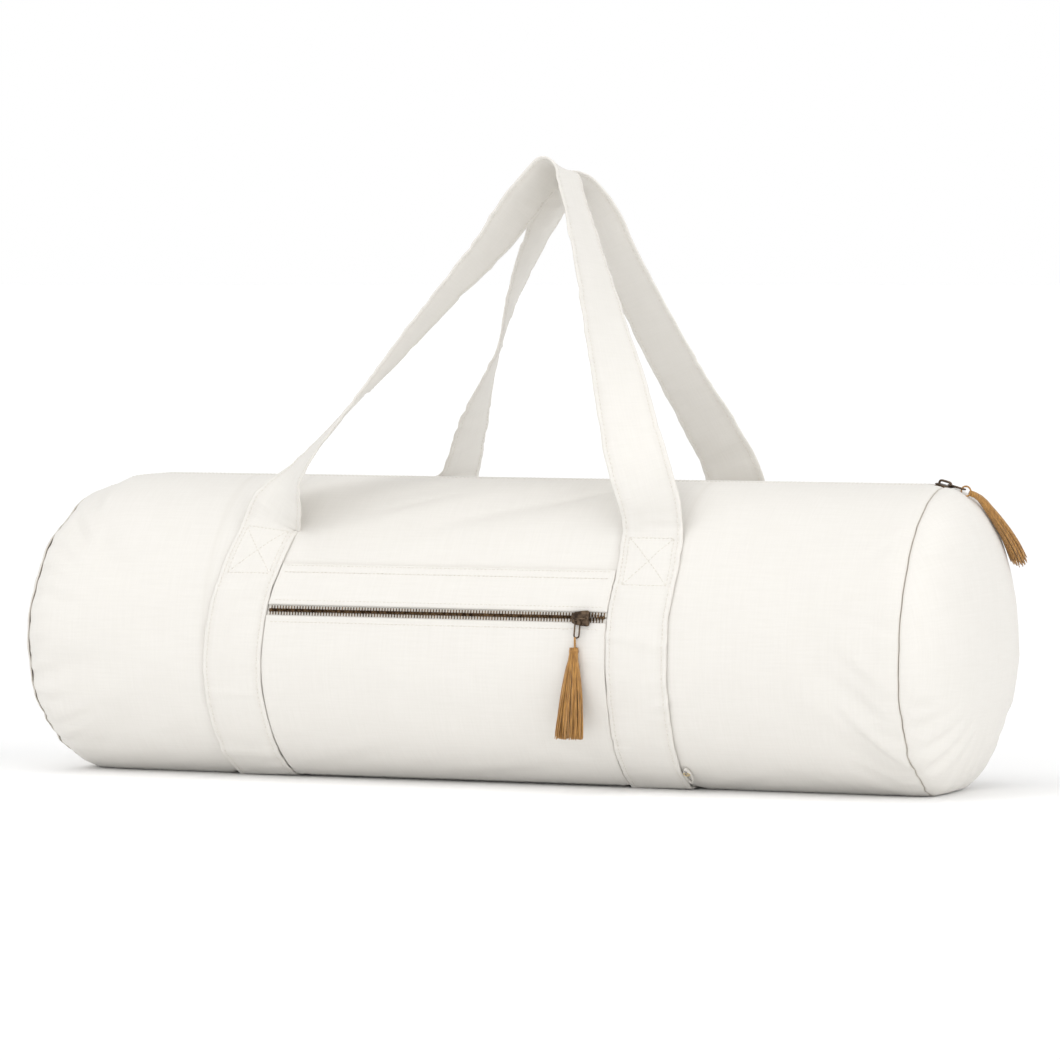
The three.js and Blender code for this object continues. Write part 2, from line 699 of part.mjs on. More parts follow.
function hangingTassel() {
  const eye = new THREE.Vector3(sliderAlong, hangY, loopZ);
  const loop = tasselLoop(eye, new THREE.Vector3(1, 0, 0), loopRadius);
  const neck = loopZ - loopRadius + 0.2;
  const across = new THREE.Vector3(1, 0, 0);
  const out = new THREE.Vector3(0, 1, 0);
  const rings = tasselShape.map((row) => {
    const ridges = row.drop > 6 ? 0.13 : 0;
    const centre = new THREE.Vector3(sliderAlong, hangY - tasselLean * row.drop, neck - row.drop);
    return lockRing(centre, across, out, row.wide, row.deep, ridges);
  });
  return geometryOf(Manifold.union([solidOf(loop), solidOf(ringsSolid(rings))]));
}

addMesh("pocket_tassel", hangingTassel(), thread);

// Main slider at the right end of the top zip, its link lying flat and its tassel over the rounded end.
const topSliderX = bagLength / 2 - 5;
const topSliderZ = skin(topSliderX, 180, chainLift).z + 0.6;
const topTilt = radians(6);
const topParts = slider();
const topSlider = geometryOf(Manifold.union([solidOf(topParts.base), solidOf(topParts.bridge)]));
topSlider.rotateY(topTilt);
topSlider.translate(topSliderX, 0, topSliderZ);
addMesh("main_slider", topSlider, bronze);

const mainLink = link();
mainLink.rotateZ(Math.PI / 2);
mainLink.translate(2.1, 0, sliderThick + 0.5);
mainLink.rotateY(topTilt);
mainLink.translate(topSliderX, 0, topSliderZ);
addMesh("main_link", mainLink, bronze);

function domeOut(y, z, off) {
  const reach = z < domeCentre ? domeCentre : bagHeight - domeCentre;
  const radius = Math.min(1, Math.hypot(y / (bagDepth / 2), (z - domeCentre) / reach));
  const swell = domeRight * Math.sqrt(Math.max(0, 1 - radius ** domeFull));
  const slope = new THREE.Vector3(1, (y / bagDepth) * 1.6, ((z - domeCentre) / bagHeight) * 1.5).normalize();
  return new THREE.Vector3(bagLength / 2 + seamGap + swell, y, z).addScaledVector(slope, off);
}

const linkReach = 2.1 + linkLong;
const topEye = new THREE.Vector3(
  topSliderX + linkReach * Math.cos(topTilt) + 0.9,
  0,
  topSliderZ + sliderThick + 1.1 - linkReach * Math.sin(topTilt) - 1.2,
);

function drapedRings() {
  const neck = topEye.clone().add(new THREE.Vector3(loopRadius * 0.9, 0, -loopRadius * 0.35));
  const centres = [neck, ...drapedTassel.map((row) => domeOut(row.y, bagHeight - row.below, row.off))];
  const curve = new THREE.CatmullRomCurve3(centres, false, "centripetal");
  const last = tasselShape[tasselShape.length - 1].drop;
  const rings = tasselShape.map((row) => {
    const k = limit(row.drop / last, 0, 1);
    const centre = curve.getPointAt(k);
    const tangent = curve.getTangentAt(k);
    const outward = new THREE.Vector3(1, 0.3, 0.9);
    outward.addScaledVector(tangent, -outward.dot(tangent)).normalize();
    const across = new THREE.Vector3().crossVectors(tangent, outward);
    const ridges = row.drop > 6 ? 0.13 : 0;
    return lockRing(centre, across, outward, row.wide, row.deep, ridges);
  });
  return rings;
}

function mainTassel() {
  const loop = tasselLoop(topEye, new THREE.Vector3(0, 1, 0), loopRadius);
  return geometryOf(Manifold.union([solidOf(loop), solidOf(ringsSolid(drapedRings()))]));
}

addMesh("main_tassel", mainTassel(), thread);

// Small folded loop of cloth sewn beside the right strap near the floor.
const tabLong = 20;
const tabDeep = 7;
const tabWall = 1.2;

function sideTab() {
  const outline = new THREE.Shape();
  outline.moveTo(-tabLong / 2, 0);
  outline.quadraticCurveTo(0, tabDeep, tabLong / 2, 0);
  outline.quadraticCurveTo(0, -tabDeep, -tabLong / 2, 0);
  const hole = new THREE.Path();
  hole.moveTo(-tabLong / 2 + 3 * tabWall, 0);
  hole.quadraticCurveTo(0, -tabDeep + 2.4 * tabWall, tabLong / 2 - 3 * tabWall, 0);
  hole.quadraticCurveTo(0, tabDeep - 2.4 * tabWall, -tabLong / 2 + 3 * tabWall, 0);
  outline.holes.push(hole);
  return new THREE.ExtrudeGeometry(outline, { depth: 3, bevelEnabled: false, curveSegments: 6 });
}

const tabTurn = 36;
const tabX = strapCentre("frontRight", 15) + strapWidth / 2 + tabDeep / 2 + 0.5;
const tabBase = skin(tabX, tabTurn, 0.6);
const tabUp = skin(tabX, tabTurn + 4, 0.6).sub(tabBase).normalize();
const tabOut = skin(tabX, tabTurn, 2).sub(tabBase).normalize();
const tabSide = new THREE.Vector3().crossVectors(tabOut, tabUp);
const tab = sideTab();
tab.applyMatrix4(new THREE.Matrix4().makeBasis(tabUp, tabSide, tabOut).setPosition(tabBase));
addMesh("side_tab", tab, canvas);

export default group;
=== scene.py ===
import math
import bpy
import numpy as np
from mathutils import Matrix, Vector


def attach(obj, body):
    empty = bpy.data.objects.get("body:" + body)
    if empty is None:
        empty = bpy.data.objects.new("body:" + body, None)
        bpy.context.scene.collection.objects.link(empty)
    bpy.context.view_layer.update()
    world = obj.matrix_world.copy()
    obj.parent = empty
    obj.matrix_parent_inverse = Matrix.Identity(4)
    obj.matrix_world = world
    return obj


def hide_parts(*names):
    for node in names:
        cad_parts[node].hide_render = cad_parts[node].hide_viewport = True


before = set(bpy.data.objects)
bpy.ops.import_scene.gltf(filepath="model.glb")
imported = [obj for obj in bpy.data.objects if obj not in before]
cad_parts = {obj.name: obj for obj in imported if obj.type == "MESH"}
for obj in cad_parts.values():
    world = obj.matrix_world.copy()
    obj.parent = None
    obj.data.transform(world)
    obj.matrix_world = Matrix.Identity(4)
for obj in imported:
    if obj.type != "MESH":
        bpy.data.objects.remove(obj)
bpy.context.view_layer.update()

# camera first, standing where the photo was taken from
shot = {"azimuth": 22.5, "elevation": 2.6, "distance": 5.0, "lens": 216.88, "target": (0.0208, 0.0, 0.1949)}
azimuth = math.radians(shot["azimuth"])
elevation = math.radians(shot["elevation"])
backward = Vector((
    math.sin(azimuth) * math.cos(elevation),
    -math.cos(azimuth) * math.cos(elevation),
    math.sin(elevation),
))
camera = bpy.data.objects.new("shotCamera", bpy.data.cameras.new("shotCamera"))
bpy.context.scene.collection.objects.link(camera)
camera.data.lens = shot["lens"]
camera.data.sensor_width = 36
camera.data.clip_end = 60
camera.location = Vector(shot["target"]) + backward * shot["distance"]
camera.rotation_euler = (-backward).to_track_quat("-Z", "Y").to_euler()
bpy.context.scene.camera = camera
bpy.context.scene.view_settings.view_transform = "Standard"
print("camera placed")


# helpers: meshes are worked out in millimetres and stored in metres
def makeObject(name, points, faces, finish, uv=None, shadeAndTint=None, smooth=True):
    mesh = bpy.data.meshes.new(name)
    mesh.from_pydata((np.asarray(points, float) * 0.001).tolist(), [], faces)
    if uv is not None:
        layer = mesh.uv_layers.new(name="cloth")
        loops = np.zeros(len(mesh.loops), np.int32)
        mesh.loops.foreach_get("vertex_index", loops)
        layer.data.foreach_set("uv", (np.asarray(uv, float)[loops] * 0.001).astype(np.float32).ravel())
    # per-vertex amounts of painted shade and tint, read by the cloth material
    if shadeAndTint is not None:
        mesh.attributes.new("shadeAndTint", "FLOAT", "POINT").data.foreach_set("value", np.asarray(shadeAndTint, np.float32))
    if smooth:
        mesh.polygons.foreach_set("use_smooth", [True] * len(mesh.polygons))
    mesh.materials.append(finish)
    made = bpy.data.objects.new(name, mesh)
    bpy.context.scene.collection.objects.link(made)
    return made


def settle(piece, node):
    # Every piece rides on the one body, and most stand for a node of the part.
    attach(piece, "root")
    if node:
        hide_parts(node)
    return piece


def volumeSign(points, faces):
    p = np.asarray(points, float)
    total = 0.0
    for face in faces:
        for i in range(1, len(face) - 1):
            total += np.dot(p[face[0]], np.cross(p[face[i]], p[face[i + 1]]))
    return total


def gridQuads(rows, columns, start=0, wrapColumns=False):
    i, j = np.meshgrid(np.arange(rows - 1), np.arange(columns if wrapColumns else columns - 1), indexing="ij")
    k = (j + 1) % columns
    quads = np.stack([i * columns + j, (i + 1) * columns + j, (i + 1) * columns + k, i * columns + k], -1)
    return quads.reshape(-1, 4) + start


def plate(name, outer, inner, uv, finish, shadeAndTint=None):
    # Two walls of cloth with their four edges closed.
    rows, columns = outer.shape[:2]
    count = rows * columns
    points = np.concatenate([outer.reshape(-1, 3), inner.reshape(-1, 3)])
    faces = [gridQuads(rows, columns), gridQuads(rows, columns, count)[:, ::-1]]
    index = np.arange(count).reshape(rows, columns)
    border = np.concatenate([index[0, :-1], index[:-1, -1], index[-1, :0:-1], index[:0:-1, 0]])
    after = np.roll(border, -1)
    faces.append(np.stack([border, after, after + count, border + count], -1))
    quads = np.concatenate(faces)
    middle = quads[(rows - 1) * (columns - 1) // 2]
    a, b, c = points[middle[0]], points[middle[1]], points[middle[2]]
    out = points[middle[0]] - points[middle[0] + count]
    if np.dot(np.cross(b - a, c - a), out) < 0:
        quads = quads[:, ::-1]
    both = np.concatenate([uv.reshape(-1, 2)] * 2)
    shadeAndTintMix = None if shadeAndTint is None else np.concatenate([shadeAndTint.ravel()] * 2)
    return makeObject(name, points, quads.tolist(), finish, both, shadeAndTintMix)


def tableOf(columns, *rows):
    # Rows of values under named columns.
    return [dict(zip(columns.split(), row)) for row in rows]


def unit(v):
    return v / np.maximum(np.linalg.norm(v, axis=-1, keepdims=True), 1e-9)


def sweep(path, wide, thick, sides=8, closed=False, up=(0, 0, 1), taper=None, phase=0.0):
    # Vertices and faces of a rounded bar along a path, flat towards up.
    path = np.asarray(path, float)
    if closed:
        along = np.roll(path, -1, 0) - np.roll(path, 1, 0)
    else:
        along = np.gradient(path, axis=0)
    along = unit(along)
    hint = np.broadcast_to(np.asarray(up, float), path.shape)
    side = unit(np.cross(along, hint))
    top = unit(np.cross(side, along))
    size = np.ones(len(path)) if taper is None else np.asarray(taper, float)
    angle = np.arange(sides) / sides * 2 * np.pi + phase
    ring = (side[:, None] * np.cos(angle)[None, :, None] * wide + top[:, None] * np.sin(angle)[None, :, None] * thick)
    points = path[:, None] + ring * size[:, None, None]
    rows = len(path)
    flat = points.reshape(-1, 3)
    faces = gridQuads(rows, sides, wrapColumns=True).tolist()
    if closed:
        last = (rows - 1) * sides
        faces += [[last + j, j, (j + 1) % sides, last + (j + 1) % sides] for j in range(sides)]
    else:
        faces.append(list(range(sides)))
        faces.append([(rows - 1) * sides + j for j in reversed(range(sides))])
    if sides * rows < 4000 and volumeSign(flat, faces) < 0:
        faces = [face[::-1] for face in faces]
    return flat, faces


def joined(parts):
    # One mesh out of several lists of vertices and faces.
    points, faces, start = [], [], 0
    for vertices, polygons in parts:
        points.append(np.asarray(vertices, float))
        faces += [[start + v for v in polygon] for polygon in polygons]
        start += len(vertices)
    return np.concatenate(points), faces


def lookUp(table, key, column, value):
    # A smooth curve through one column of a table.
    x = np.array([row[key] for row in table], float)
    y = np.array([row[column] for row in table], float)
    step = np.diff(y) / np.diff(x)
    slope = np.zeros_like(y)
    both = step[:-1] * step[1:]
    slope[1:-1] = np.where(both > 0, 2 * both / np.where(both > 0, step[:-1] + step[1:], 1), 0)
    slope[0], slope[-1] = step[0], step[-1]
    v = np.clip(value, x[0], x[-1])
    i = np.clip(np.searchsorted(x, v) - 1, 0, len(x) - 2)
    h = x[i + 1] - x[i]
    t = (v - x[i]) / h
    return (
        (2 * t**3 - 3 * t**2 + 1) * y[i] + (t**3 - 2 * t**2 + t) * h * slope[i]
        + (3 * t**2 - 2 * t**3) * y[i + 1] + (t**3 - t**2) * h * slope[i + 1]
    )


def pressOf(folds, a, b, keyA, keyB, scale=1.0):
    # Depth of a table of folds over a surface: a valley with a low ridge beside it.
    depth = np.zeros(np.broadcast(a, b).shape)
    for fold in folds:
        slant = math.radians(fold["slant"])
        da = a - fold[keyA]
        db = (b - fold[keyB]) * scale
        u = da * math.cos(slant) + db * math.sin(slant)
        v = db * math.cos(slant) - da * math.sin(slant)
        ridge = fold.get("ridge", 0.0)
        reach = np.exp(-(u / fold["long"]) ** 2)
        w = fold["wide"]
        depth += fold["deep"] * reach * (np.exp(-(v / w) ** 2) - ridge * np.exp(-((v - 1.7 * w) / (1.2 * w)) ** 2))
    return depth


# materials
def nodeMaterial(name):
    finish = bpy.data.materials.new(name)
    finish.use_nodes = True
    tree = finish.node_tree
    tree.nodes.clear()
    output = tree.nodes.new("ShaderNodeOutputMaterial")
    shader = tree.nodes.new("ShaderNodeBsdfPrincipled")
    tree.links.new(shader.outputs["BSDF"], output.inputs["Surface"])
    return finish, tree, shader


def addNode(tree, kind, settings=None, inputs=None):
    node = tree.nodes.new(kind)
    for key, value in (settings or {}).items():
        setattr(node, key, value)
    for key, value in (inputs or {}).items():
        if hasattr(value, "is_output"):
            tree.links.new(value, node.inputs[key])
        else:
            node.inputs[key].default_value = value
    return node


def ramp(tree, value, fromMin, fromMax, toMin=0.0, toMax=1.0):
    return addNode(tree, "ShaderNodeMapRange", None, {
        "Value": value, "From Min": fromMin, "From Max": fromMax, "To Min": toMin, "To Max": toMax,
    }).outputs["Result"]


def mixed(tree, factor, a, b):
    return addNode(tree, "ShaderNodeMix", {"data_type": "RGBA"}, {"Factor": factor, "A": a, "B": b}).outputs["Result"]


def clothMaterial(name, look):
    # Plain woven cloth: warp and weft threads with slubs, a soft mottle, and a dark tone mixed in from a vertex
    # attribute: painted shade at seams, edges and beside the straps, and an even darker tint on some pieces.
    finish, tree, shader = nodeMaterial(name)
    uv = addNode(tree, "ShaderNodeUVMap", {"uv_map": "cloth"}).outputs["UV"]
    threads = []
    for turn in (0.0, math.pi / 2):
        spun = addNode(tree, "ShaderNodeMapping", None, {"Vector": uv, "Rotation": (0, 0, turn)})
        wave = addNode(tree, "ShaderNodeTexWave", {"wave_type": "BANDS", "bands_direction": "X"}, {
            "Vector": spun.outputs["Vector"], "Scale": 0.314 / look["thread"], "Distortion": 1.6,
            "Detail": 2.0, "Detail Scale": 0.6,
        })
        long = addNode(tree, "ShaderNodeMapping", None, {
            "Vector": spun.outputs["Vector"], "Scale": (1.0 / look["thread"], 0.045 / look["thread"], 1),
        })
        slub = addNode(tree, "ShaderNodeTexNoise", {"noise_dimensions": "2D"}, {
            "Vector": long.outputs["Vector"], "Scale": 0.55, "Detail": 2.0, "Roughness": 0.55,
        })
        thread = addNode(tree, "ShaderNodeMath", {"operation": "MULTIPLY_ADD"}, {
            0: wave.outputs["Fac"], 1: 0.45, 2: slub.outputs["Fac"],
        })
        threads.append(thread.outputs[0])
    weave = addNode(tree, "ShaderNodeMath", {"operation": "ADD"}, {0: threads[0], 1: threads[1]})
    height = ramp(tree, weave.outputs[0], 0.75, 2.0)
    mottle = addNode(tree, "ShaderNodeTexNoise", {"noise_dimensions": "2D"}, {
        "Vector": uv, "Scale": 26.0, "Detail": 4.0, "Roughness": 0.6,
    })
    # the attribute carries painted shade along seams and edges, painted shadow beside the straps, and an even tint on
    # the zip tapes and side tab
    shadeAndTint = addNode(tree, "ShaderNodeAttribute", {"attribute_name": "shadeAndTint"})
    low = mixed(tree, height, look["valley"], look["thread colour"])
    soft = ramp(tree, mottle.outputs["Fac"], 0.3, 0.7, 0.0, look["mottle"])
    spotted = mixed(tree, soft, low, look["shade"])
    shadeAndTintMix = mixed(tree, shadeAndTint.outputs["Fac"], spotted, look["shadeAndTintMix"])
    tree.links.new(shadeAndTintMix, shader.inputs["Base Color"])
    coarse = addNode(tree, "ShaderNodeBump", None, {
        "Strength": look["crumple"], "Distance": 0.0012, "Height": mottle.outputs["Fac"],
    })
    fine = addNode(tree, "ShaderNodeBump", None, {
        "Strength": look["relief"], "Distance": 0.00022, "Height": height,
        "Normal": coarse.outputs["Normal"],
    })
    tree.links.new(fine.outputs["Normal"], shader.inputs["Normal"])
    shader.inputs["Roughness"].default_value = 0.93
    shader.inputs["Specular IOR Level"].default_value = 0.18
    shader.inputs["Sheen Weight"].default_value = look["sheen"]
    shader.inputs["Sheen Roughness"].default_value = 0.5
    return finish


def threadMaterial(name, look):
    # Spun yarn with fine lengthwise fibres.
    finish, tree, shader = nodeMaterial(name)
    place = addNode(tree, "ShaderNodeTexCoord").outputs["Object"]
    stretched = addNode(tree, "ShaderNodeMapping", None, {"Vector": place, "Scale": look["stretch"]})
    fibre = addNode(tree, "ShaderNodeTexNoise", None, {
        "Vector": stretched.outputs["Vector"], "Scale": look["scale"], "Detail": 3.0, "Roughness": 0.6,
    })
    tint = ramp(tree, fibre.outputs["Fac"], 0.32, 0.68)
    tree.links.new(mixed(tree, tint, look["dark"], look["light"]), shader.inputs["Base Color"])
    bump = addNode(tree, "ShaderNodeBump", None, {
        "Strength": 0.5, "Distance": 0.0002, "Height": fibre.outputs["Fac"],
    })
    tree.links.new(bump.outputs["Normal"], shader.inputs["Normal"])
    shader.inputs["Roughness"].default_value = look["rough"]
    shader.inputs["Sheen Weight"].default_value = 0.3
    return finish


def metalMaterial(name, look):
    # Antiqued metal: bright where rubbed, dark and rougher in its tarnish.
    finish, tree, shader = nodeMaterial(name)
    place = addNode(tree, "ShaderNodeTexCoord").outputs["Object"]
    patches = addNode(tree, "ShaderNodeTexNoise", None, {
        "Vector": place, "Scale": look["patch"], "Detail": 4.0, "Roughness": 0.65,
    })
    tarnish = ramp(tree, patches.outputs["Fac"], 0.38, 0.62)
    rough = ramp(tree, tarnish, 0.0, 1.0, look["rough"] + 0.15, look["rough"])
    tree.links.new(mixed(tree, tarnish, look["dark"], look["bright"]), shader.inputs["Base Color"])
    tree.links.new(rough, shader.inputs["Roughness"])
    scratch = addNode(tree, "ShaderNodeBump", None, {
        "Strength": 0.25, "Distance": 0.0001, "Height": patches.outputs["Fac"],
    })
    tree.links.new(scratch.outputs["Normal"], shader.inputs["Normal"])
    shader.inputs["Metallic"].default_value = 1.0
    return finish


# the dark brown-grey last colour is mixed in as painted shade at seams and edges, and as an even tint on some pieces
canvasLook = {
    "thread": 0.00085, "thread colour": (0.765, 0.744, 0.706, 1), "valley": (0.722, 0.7, 0.658, 1),
    "shade": (0.704, 0.682, 0.64, 1), "shadeAndTintMix": (0.42, 0.37, 0.3, 1), "mottle": 0.2, "crumple": 0.24,
    "relief": 0.32, "sheen": 0.12,
}
strapLook = dict(canvasLook, mottle=0.35, crumple=0.4)
tapeLook = dict(canvasLook, thread=0.0006, relief=0.5)
tapeLook["thread colour"] = (0.8, 0.772, 0.718, 1)
canvas = clothMaterial("natural_canvas", canvasLook)
strapCloth = clothMaterial("strap_canvas", strapLook)
tapeCloth = clothMaterial("zip_tape_cloth", tapeLook)
stitchThread = threadMaterial("stitch_thread", {
    "stretch": (1, 1, 1), "scale": 900.0, "rough": 0.85,
    "dark": (0.6, 0.565, 0.5, 1), "light": (0.77, 0.742, 0.69, 1),
})
tasselThread = threadMaterial("tassel_yarn", {
    "stretch": (1, 1, 0.12), "scale": 700.0, "rough": 0.75,
    "dark": (0.23, 0.1, 0.018, 1), "light": (0.52, 0.27, 0.062, 1),
})
goldThread = threadMaterial("gold_yarn", {
    "stretch": (1, 1, 0.3), "scale": 800.0, "dark": (0.5, 0.36, 0.14, 1), "light": (0.75, 0.6, 0.32, 1), "rough": 0.7,
})
toothMetal = metalMaterial("tooth_brass", {
    "patch": 420.0, "dark": (0.05, 0.032, 0.02, 1), "bright": (0.24, 0.155, 0.085, 1), "rough": 0.36,
})
sliderMetal = metalMaterial("slider_bronze", {
    "patch": 180.0, "dark": (0.045, 0.032, 0.024, 1), "bright": (0.17, 0.12, 0.08, 1), "rough": 0.36,
})
print("materials made")

# the body's outline, the same sizes as the CAD part
body = {
    "length": 728, "depth": 224, "height": 236, "widest": 100, "sag": 6, "cloth": 2, "seam": 0.4,
    "slot": 6, "recess": 2.6, "panelMiddle": 104, "domeFull": 2.8, "domeSlack": 0.3,
}
leftEnd = tableOf("inset size lean",
    (0, 0.915, 14), (5, 0.945, 12), (12, 0.968, 9), (24, 0.985, 5), (45, 0.996, 2), (70, 1, 0),
)
leftDroop = tableOf("inset drop",
    (0, 6), (5, 7), (12, 8), (24, 7.5), (45, 2), (70, 0),
)
rightEnd = tableOf("inset size",
    (0, 0.984), (4, 0.992), (12, 1),
)
dents = tableOf("along turn long wide deep slant",
    (-70, 152, 60, 13, 2.5, 22),
    (10, 148, 75, 14, 2.5, 20),
    (75, 156, 55, 13, 2, 24),
    (322, 80, 34, 13, 3, -42),
    (332, 48, 36, 13, 4, -48),
    (250, 128, 60, 16, 1.6, 12),
    (-322, 132, 38, 13, 4, -34),
    (-330, 82, 34, 14, 3.5, 10),
    (-300, 50, 50, 15, 2.5, 38),
    (300, -70, 60, 16, 3, 30),
    (-20, -80, 52, 18, 3, -12),
    (-310, -110, 50, 15, 3, 34),
)
# sharper folds of the cloth between the straps and the seams
folds = tableOf("along turn long wide deep slant ridge",
    (-52, 151, 42, 4.5, 1.1, 22, 0.5),
    (18, 146, 50, 5, 1.1, 19, 0.5),
    (80, 157, 36, 4, 0.9, 26, 0.5),
    (330, 88, 24, 4.5, 1.3, -38, 0.6),
    (338, 74, 22, 4, 1.2, -46, 0.6),
    (342, 52, 26, 4.5, 1.8, -50, 0.7),
    (330, 38, 26, 4, 1.4, -44, 0.6),
    (352, 62, 14, 3.5, 1.2, -30, 0.6),
    (-350, 127, 30, 5, 2.2, -34, 0.6),
    (-332, 152, 16, 4, 1.5, -60, 0.5),
    (-358, 91, 15, 3.5, 2.2, 4, 0.6),
    (-350, 66, 20, 4, 1.5, 16, 0.6),
    (-345, 108, 22, 4, 1.3, -12, 0.6),
    (-344, 44, 26, 5, 1.6, 30, 0.6),
    (-338, 138, 24, 4, 1.8, -52, 0.7),
    (-352, 118, 16, 3.4, 1.8, -20, 0.7),
    (-356, 79, 18, 3.2, 1.8, 14, 0.7),
    (-336, 56, 34, 4.5, 1.5, 26, 0.6),
    (344, 132, 18, 3.4, 1.2, 34, 0.6),
    (350, 104, 14, 3, 1.0, -12, 0.6),
    (326, 64, 30, 3.8, 1.3, -52, 0.6),
)
straps = {"width": 50, "thick": 2, "lift": 0.5, "left": -184.5, "right": 149.7}
drift = tableOf("height frontLeft frontRight backLeft backRight",
    (0, 0, 0, 0, 0),
    (75, 0, 5, 6, 1),
    (131, 4, 5, 23, 4),
    (171, 12, 8, 44, 8),
    (200, 19, 6, 56, 11),
)
halfLength = body["length"] / 2
halfDepth = body["depth"] / 2
random = np.random.default_rng(11)


def scatterFolds(count, spread, sizes):
    rows = []
    for _ in range(count):
        rows.append({
            "along": random.uniform(*spread["along"]), "turn": random.uniform(*spread["turn"]),
            "long": random.uniform(*sizes["long"]), "wide": random.uniform(*sizes["wide"]),
            "deep": random.uniform(*sizes["deep"]), "slant": random.normal(sizes["slant"], sizes["swing"]),
            "ridge": 0.6,
        })
    return rows


softFolds = scatterFolds(70, {"along": (-350, 350), "turn": (-170, 170)}, {
    "long": (18, 60), "wide": (5, 13), "deep": (0.1, 0.45), "slant": 0, "swing": 50})
softFolds += scatterFolds(26, {"along": (-350, 350), "turn": (20, 55)}, {
    "long": (14, 40), "wide": (4, 9), "deep": (0.15, 0.6), "slant": 0, "swing": 40})


def scatterPuckers(reach, step, swing, deep, long, wide):
    return [{
        "turn": turn + random.uniform(-swing, swing), "deep": random.uniform(*deep),
        "long": random.uniform(*long), "wide": random.uniform(*wide),
    } for turn in np.arange(-reach, reach, step)]


leftPuckers = scatterPuckers(172, 8, 3, (0.7, 2.6), (9, 30), (2.6, 5))
rightPuckers = scatterPuckers(170, 7, 2.5, (0.4, 1.6), (6, 18), (2.2, 4))


def puckerDepth(puckers, turn, inset):
    depth = np.zeros(np.broadcast(turn, inset).shape)
    for pucker in puckers:
        low = 1.0 if abs(pucker["turn"]) < 105 else 0.45
        across = np.radians(turn - pucker["turn"]) * halfDepth / (pucker["wide"] * (1 + inset / 40))
        valley = np.exp(-across**2) - 0.42 * np.exp(-(across / 2.3) ** 2)
        depth += low * pucker["deep"] * np.exp(-inset / pucker["long"]) * valley
    return depth


def endSize(x):
    left = lookUp(leftEnd, "inset", "size", x + halfLength)
    right = lookUp(rightEnd, "inset", "size", halfLength - x)
    return np.minimum(left, right)


def recessAt(x):
    away = np.minimum(abs(x - straps["left"]), abs(x - straps["right"])) - straps["width"] / 2
    return body["recess"] * np.clip((9 - away) / 7, 0, 1)


def dentDepth(x, turn):
    left = np.exp(-(x + halfLength) / 12) * 1.3 * np.cos(np.radians(turn * 11))
    right = np.exp(-(halfLength - x) / 10) * 0.9 * np.cos(np.radians(turn * 13 + 40))
    low = np.clip((100 - abs(turn)) / 60, 0, 1) * np.clip((abs(turn) - 20) / 10, 0, 1)
    gather = left * np.clip((abs(turn) - 20) / 10, 0, 1) + right * low
    depth = pressOf(dents, x, turn, "along", "turn", math.radians(1) * halfDepth)
    return np.where(abs(turn) < 24, 0, depth - gather)


def fineDepth(x, turn):
    # Folds too fine for the CAD part, kept off the places that straps and pocket cover.
    depth = pressOf(folds + softFolds, x, turn, "along", "turn", math.radians(1) * halfDepth)
    depth = depth + puckerDepth(leftPuckers, turn, x + halfLength) + puckerDepth(rightPuckers, turn, halfLength - x)
    away = np.minimum(abs(x - straps["left"]), abs(x - straps["right"] - 4)) - straps["width"] / 2
    free = np.clip((away - 3) / 12, 0, 1)
    between = (x > straps["left"]) & (x < straps["right"] + 20) & (turn > 10) & (turn < 124)
    free = np.where(between, 0, free)
    return depth * free * np.clip((abs(turn) - 16) / 12, 0, 1) * np.clip((176 - abs(turn)) / 8, 0, 1)


def bodyPoint(x, turn, fine=False):
    x, turn = np.broadcast_arrays(np.asarray(x, float), np.asarray(turn, float))
    size = endSize(x)
    reach = np.where(abs(turn) < 90, body["widest"] + body["sag"], body["height"] - body["widest"])
    press = dentDepth(x, turn)
    if fine:
        press = press + fineDepth(x, turn)
    sine, cosine = np.sin(np.radians(turn)), np.cos(np.radians(turn))
    y = -sine * (halfDepth * size - press)
    z = body["widest"] - cosine * (reach * size - press)
    lean = lookUp(leftEnd, "inset", "lean", x + halfLength)
    low = np.clip((95 - abs(turn)) / 50, 0.3, 1)
    waver = np.sin(turn * 0.21 + 1) * 0.5 + np.sin(turn * 0.47) * 0.45 + np.sin(turn * 0.9 + 2) * 0.25
    x = x + waver * low * (1.1 * np.exp((x - halfLength) / 5) + 1.3 * np.exp(-(x + halfLength) / 6))
    x = x - 2.2 * np.exp(-(x + halfLength) / 8)
    droop = lookUp(leftDroop, "inset", "drop", x + halfLength) * np.clip((abs(turn) - 110) / 50, 0, 1)
    return np.stack([x + lean * cosine**2, y, np.maximum(z - droop, recessAt(x))], -1)


def skinNormal(x, turn):
    around = bodyPoint(x, turn + 3) - bodyPoint(x, turn - 3)
    along = bodyPoint(x + 2, turn) - bodyPoint(x - 2, turn)
    return unit(np.cross(along, around))


def skin(x, turn, lift, fine=False):
    return bodyPoint(x, turn, fine) + skinNormal(x, turn) * np.asarray(lift, float)[..., None]


def turnAt(height):
    return 90 + np.degrees(np.arcsin((height - body["widest"]) / (body["height"] - body["widest"])))


slotTurn = 180 - math.degrees(math.asin(body["slot"] / halfDepth))


def edgeSteps(low, high, step, fine):
    # Even steps with closer ones at both edges.
    inner = np.linspace(low + fine[-1], high - fine[-1], max(2, int(round((high - low) / step))))
    return np.unique(np.concatenate([low + np.array(fine), inner, high - np.array(fine)]))


